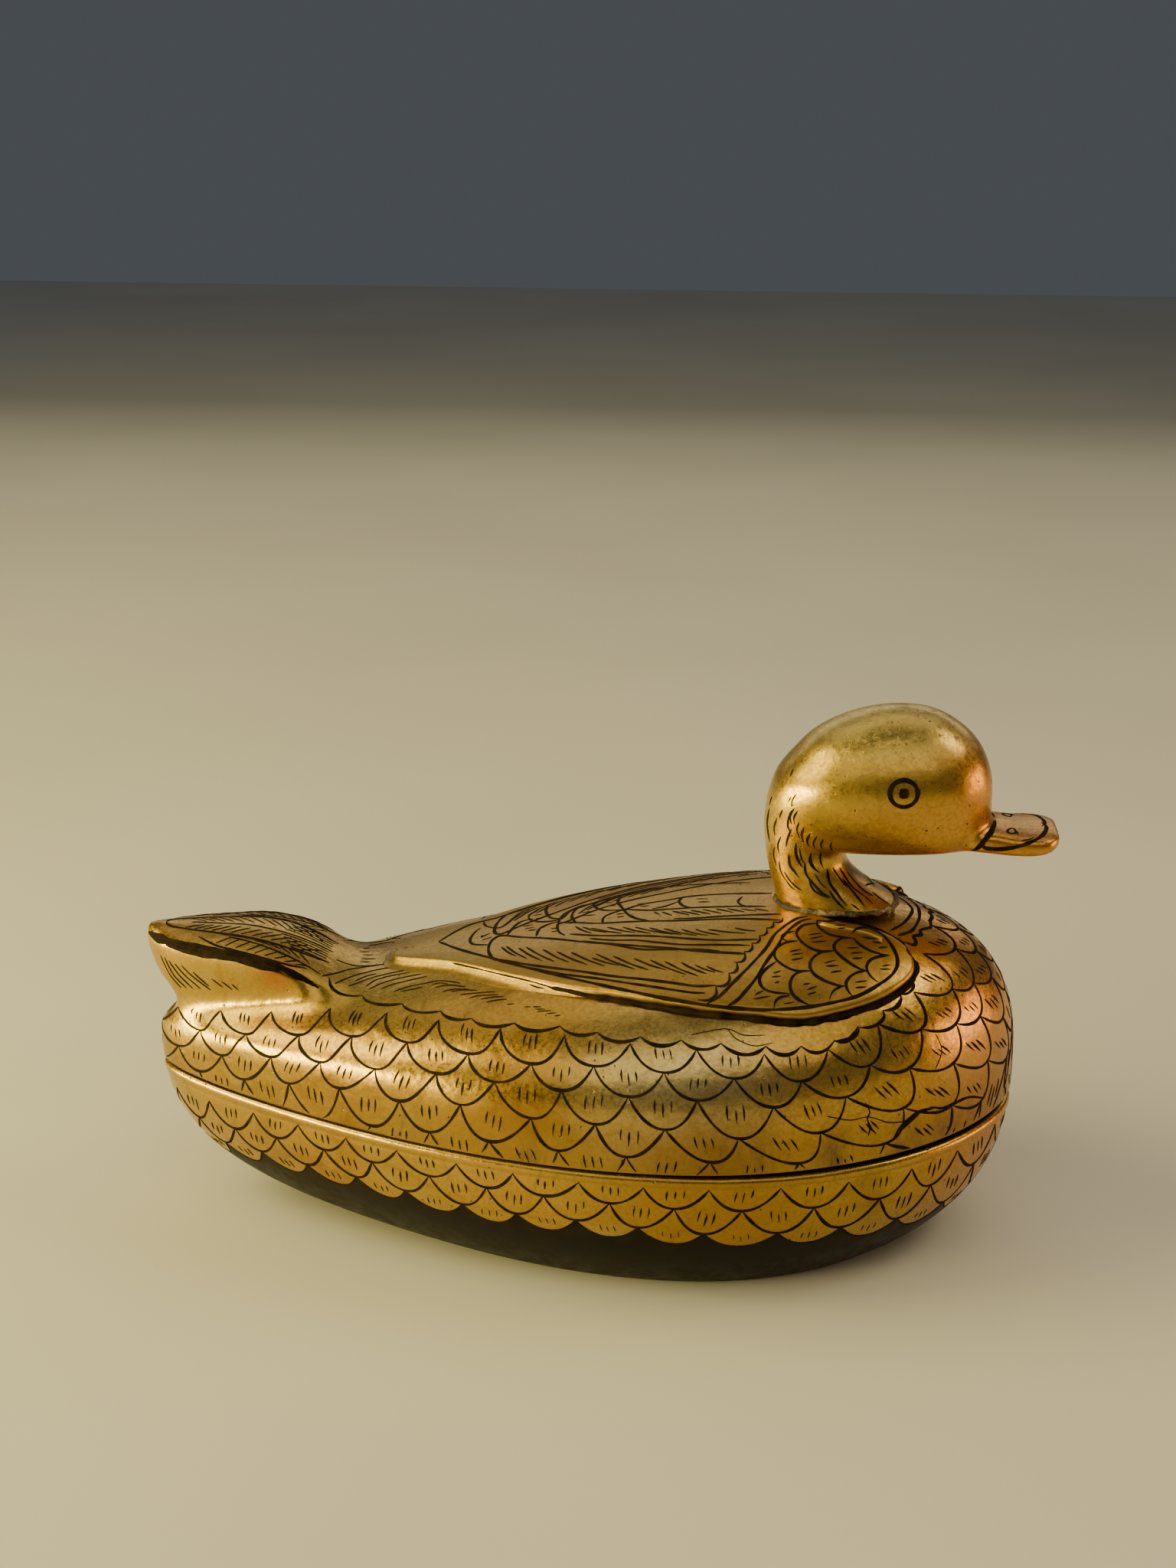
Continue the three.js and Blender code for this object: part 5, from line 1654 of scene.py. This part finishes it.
# Painted lines of the head, as places in a view of the photograph enlarged about this corner
HEAD_VIEW_CORNER, HEAD_VIEW_ZOOM = (960, 900), 3.564
HEAD_STROKE_SHARE = 0.82  # share of the tables' widths that matches the photograph's lines
BILL_LINES = [
    (2.6, [(1212, 612), (1203, 640), (1190, 668), (1165, 700), (1130, 735), (1112, 748), (1096, 757)]),
    (2.4, [(1165, 705), (1135, 735), (1104, 752)]),
    (1.7, [(1165, 712), (1156, 734), (1180, 743), (1240, 745), (1310, 735), (1370, 715), (1420, 690),
     (1446, 660), (1447, 636), (1425, 621)]),
    (0.6, [(1335, 704), (1370, 700), (1392, 690)]),
    (1.0, [(1312, 672), (1300, 651), (1282, 649), (1268, 660), (1280, 672), (1302, 671), (1312, 663),
     (1318, 678)]),
]
HEAD_STROKES = [
    (1.1, [(272, 372), (258, 408)]), (0.8, [(288, 488), (268, 515), (262, 545)]),
    (0.8, [(262, 500), (246, 530)]), (1.3, [(276, 556), (256, 588), (262, 628)]),
    (0.9, [(292, 565), (274, 600), (278, 630)]), (1.0, [(300, 618), (288, 655), (300, 692)]),
    (1.0, [(322, 642), (310, 680), (320, 716)]), (1.0, [(350, 672), (336, 704), (343, 732)]),
    (1.0, [(382, 684), (366, 714), (371, 742)]), (0.9, [(412, 698), (400, 724), (406, 744)]),
    (0.9, [(450, 712), (444, 734), (452, 752)]), (0.9, [(250, 590), (246, 640), (262, 670)]),
    (0.9, [(262, 650), (244, 700), (238, 735)]), (0.8, [(215, 684), (200, 724), (205, 765)]),
    (0.8, [(196, 600), (182, 645), (186, 685)]), (0.9, [(222, 560), (206, 600)]),
    (1.3, [(160, 555), (151, 610), (154, 668), (162, 712)]), (1.0, [(172, 500), (160, 540)]),
    (0.8, [(184, 735), (180, 775), (192, 818)]), (1.1, [(250, 768), (256, 820), (278, 850), (300, 880)]),
    (1.1, [(284, 716), (283, 762), (296, 802), (316, 832)]),
    (1.3, [(354, 764), (350, 800), (368, 834), (396, 856)]),
    (1.2, [(324, 808), (330, 858), (360, 900), (404, 948), (446, 970)]),
    (1.0, [(344, 888), (362, 930), (396, 956), (440, 974)]),
    (0.8, [(230, 850), (254, 890), (284, 920), (310, 938)]), (0.8, [(204, 800), (214, 850), (238, 892)]),
    (0.8, [(238, 890), (262, 922), (282, 936)]),
    (1.1, [(430, 838), (440, 900), (470, 944), (500, 985), (522, 1008)]),
    (0.9, [(455, 830), (482, 872), (522, 924)]), (1.0, [(486, 830), (512, 872), (546, 920), (606, 966)]),
    (0.9, [(500, 882), (540, 932), (576, 976), (602, 1012)]),
    (0.8, [(522, 850), (562, 900), (600, 938), (642, 962)]), (0.9, [(540, 1000), (582, 1030), (630, 1052)]),
    (0.9, [(438, 936), (470, 985), (512, 1026)]), (0.8, [(602, 962), (642, 1000), (690, 1042)]),
    (0.7, [(560, 800), (600, 860), (650, 920)]), (0.7, [(640, 944), (676, 974), (716, 1000)]),
    (0.8, [(300, 740), (310, 790), (330, 820)]), (0.8, [(400, 760), (398, 800), (412, 836)]),
    (0.7, [(372, 860), (400, 905), (430, 930)]),
]


class DUCKBOX_OT_head_paint(bpy.types.Operator):
    """Eyes, bill lines and the strokes of the neck"""

    bl_idname = "duckbox.head_paint"
    bl_label = "Head painting"

    def execute(self, context):
        brush = Brush(bpy.data.objects["gilt_head"], seed=9)

        def seen(points):
            places = np.array(HEAD_VIEW_CORNER) + np.array(points) / HEAD_VIEW_ZOOM
            return seen_on(brush.trees, places.tolist())

        for width, points in BILL_LINES + HEAD_STROKES:
            path = seen(points)
            if len(path) > 1:
                brush.pair(path, width * HEAD_STROKE_SHARE, 0.6)
        eye = seen([(787, 487)])[0]
        for side in (1, -1):
            centre = np.array([eye[0], eye[1] * side, eye[2]])
            turn = np.linspace(0.3, 2 * np.pi + 0.34, 34)
            ring = np.column_stack([np.cos(turn) * EYE_RADIUS, np.zeros(34), np.sin(turn) * EYE_RADIUS])
            brush.stroke(centre + ring, 1.55, ends="even", step=0.5)
            for lift in (0.0, 0.85, -0.85):
                reach = math.sqrt(PUPIL_RADIUS**2 - lift**2)
                dot = centre + np.array([(-reach, 0, lift), (0, 0, lift), (reach, 0, lift)])
                brush.stroke(dot, 2.0 if lift == 0 else 1.5, ends="round", step=0.25)
        finish_piece(brush.piece("head_painting"), [ink_lacquer()], "lid")
        return {"FINISHED"}


# Soft boxes round the duck: name, place and aim in m, size in m, power in W and colour
LIGHTS = [
    ("low_left", (-1.2, -0.35, 0.18), (0.0, 0.0, 0.08), (1.0, 0.3), 34, "#FFEE8C"),
    ("high_left", (-0.95, -0.1, 0.85), (0.0, 0.0, 0.08), (0.8, 0.55), 9, "#FFEC98"),
    ("low_behind", (0.0, 1.5, 0.66), (0.0, 0.0, 0.08), (2.4, 0.4), 3.5, "#FFF0C4"),
    ("high_behind", (0.0, 0.6, 1.25), (0.0, 0.0, 0.05), (1.4, 0.8), 2.8, "#FFF2CC"),
    ("above", (0.1, -0.75, 0.95), (0.02, 0.0, 0.08), (1.6, 0.8), 4.2, "#FFF2CC"),
    ("high_right", (0.8, 0.1, 0.9), (0.1, 0.0, 0.08), (0.5, 0.4), 2.6, "#FFEEB8"),
    ("right", (0.95, 0.1, 0.16), (0.1, 0.0, 0.08), (0.5, 0.28), 2.0, "#FFC878"),
]


def light(name, at, aim, size, power, tone):
    data = bpy.data.lights.new(name, "AREA")
    data.shape = "RECTANGLE"
    data.size, data.size_y = size
    data.energy = power
    data.color = linear(tone)
    ob = bpy.data.objects.new(name, data)
    bpy.context.collection.objects.link(ob)
    ob.location = at
    ob.rotation_euler = (Vector(aim) - Vector(at)).to_track_quat("-Z", "Y").to_euler()


class DUCKBOX_OT_stage(bpy.types.Operator):
    """Pale floor, soft studio light and the camera"""

    bl_idname = "duckbox.stage"
    bl_label = "Stage and camera"

    def execute(self, context):
        deselect()
        bpy.ops.mesh.primitive_plane_add(size=6.0, location=(0, 0, 0))
        floor = bpy.context.object
        floor.name = floor.data.name = "studio_floor"
        f = Finish("matt_studio_floor")
        # a plain matt floor, whose tone drifts a little over about 300 mm
        cloud = f.node("TexNoise", {"Vector": f.place, "Scale": 3.0, "Detail": 2.0})["Fac"]
        tone = f.node("ValToRGB", [cloud], [(0.3, linear("#D2CEC6")), (0.7, tuple(colours().floor))])[0]
        floor.data.materials.append(f.shade({"Base Color": tone, "Roughness": 0.85}))

        world = context.scene.world or bpy.data.worlds.new("studio")
        context.scene.world = world
        world.use_nodes = True
        background = world.node_tree.nodes["Background"]
        background.inputs["Color"].default_value = (*linear("#C9D2DE"), 1)
        background.inputs["Strength"].default_value = 0.12
        for name, at, aim, size, power, tone in LIGHTS:
            light(name, at, aim, size, power, tone)

        data = bpy.data.cameras.new("photo_view")
        data.lens = CAMERA_LENS
        data.sensor_width = 36
        data.clip_start, data.clip_end = 0.01, 20
        camera = bpy.data.objects.new("photo_view", data)
        context.collection.objects.link(camera)
        camera.matrix_world = camera_matrix()
        context.scene.camera = camera
        return {"FINISHED"}


class DUCKBOX_PT_panel(bpy.types.Panel):
    bl_label = "Duck Box"
    bl_idname = "DUCKBOX_PT_panel"
    bl_space_type = "VIEW_3D"
    bl_region_type = "UI"
    bl_category = "Duck Box"

    def draw(self, context):
        for group in (context.scene.duck_box_sizes, context.scene.duck_box_colours):
            for key in group.__annotations__:
                self.layout.prop(group, key)
        for step in STEPS:
            self.layout.operator(step.bl_idname)


STEPS = (
    DUCKBOX_OT_stage, DUCKBOX_OT_bowl, DUCKBOX_OT_bowl_scales, DUCKBOX_OT_collar, DUCKBOX_OT_lid,
    DUCKBOX_OT_mantle, DUCKBOX_OT_crease, DUCKBOX_OT_lid_paint, DUCKBOX_OT_mantle_paint,
    DUCKBOX_OT_tail_paint, DUCKBOX_OT_head, DUCKBOX_OT_head_paint, DUCKBOX_OT_putty, DUCKBOX_OT_peg,
)
CLASSES = (DuckBoxColours, DuckBoxSizes, *STEPS, DUCKBOX_PT_panel)


def register():
    for cls in CLASSES:
        bpy.utils.register_class(cls)
    bpy.types.Scene.duck_box_colours = PointerProperty(type=DuckBoxColours)
    bpy.types.Scene.duck_box_sizes = PointerProperty(type=DuckBoxSizes)


def unregister():
    del bpy.types.Scene.duck_box_sizes
    del bpy.types.Scene.duck_box_colours
    for cls in reversed(CLASSES):
        bpy.utils.unregister_class(cls)


def main():
    register()
    for step in STEPS:
        group, name = step.bl_idname.split(".")
        if getattr(getattr(bpy.ops, group), name)() != {"FINISHED"}:
            raise RuntimeError(step.bl_idname + " didn't finish")
    deselect()


if __name__ == "__main__":
    main()
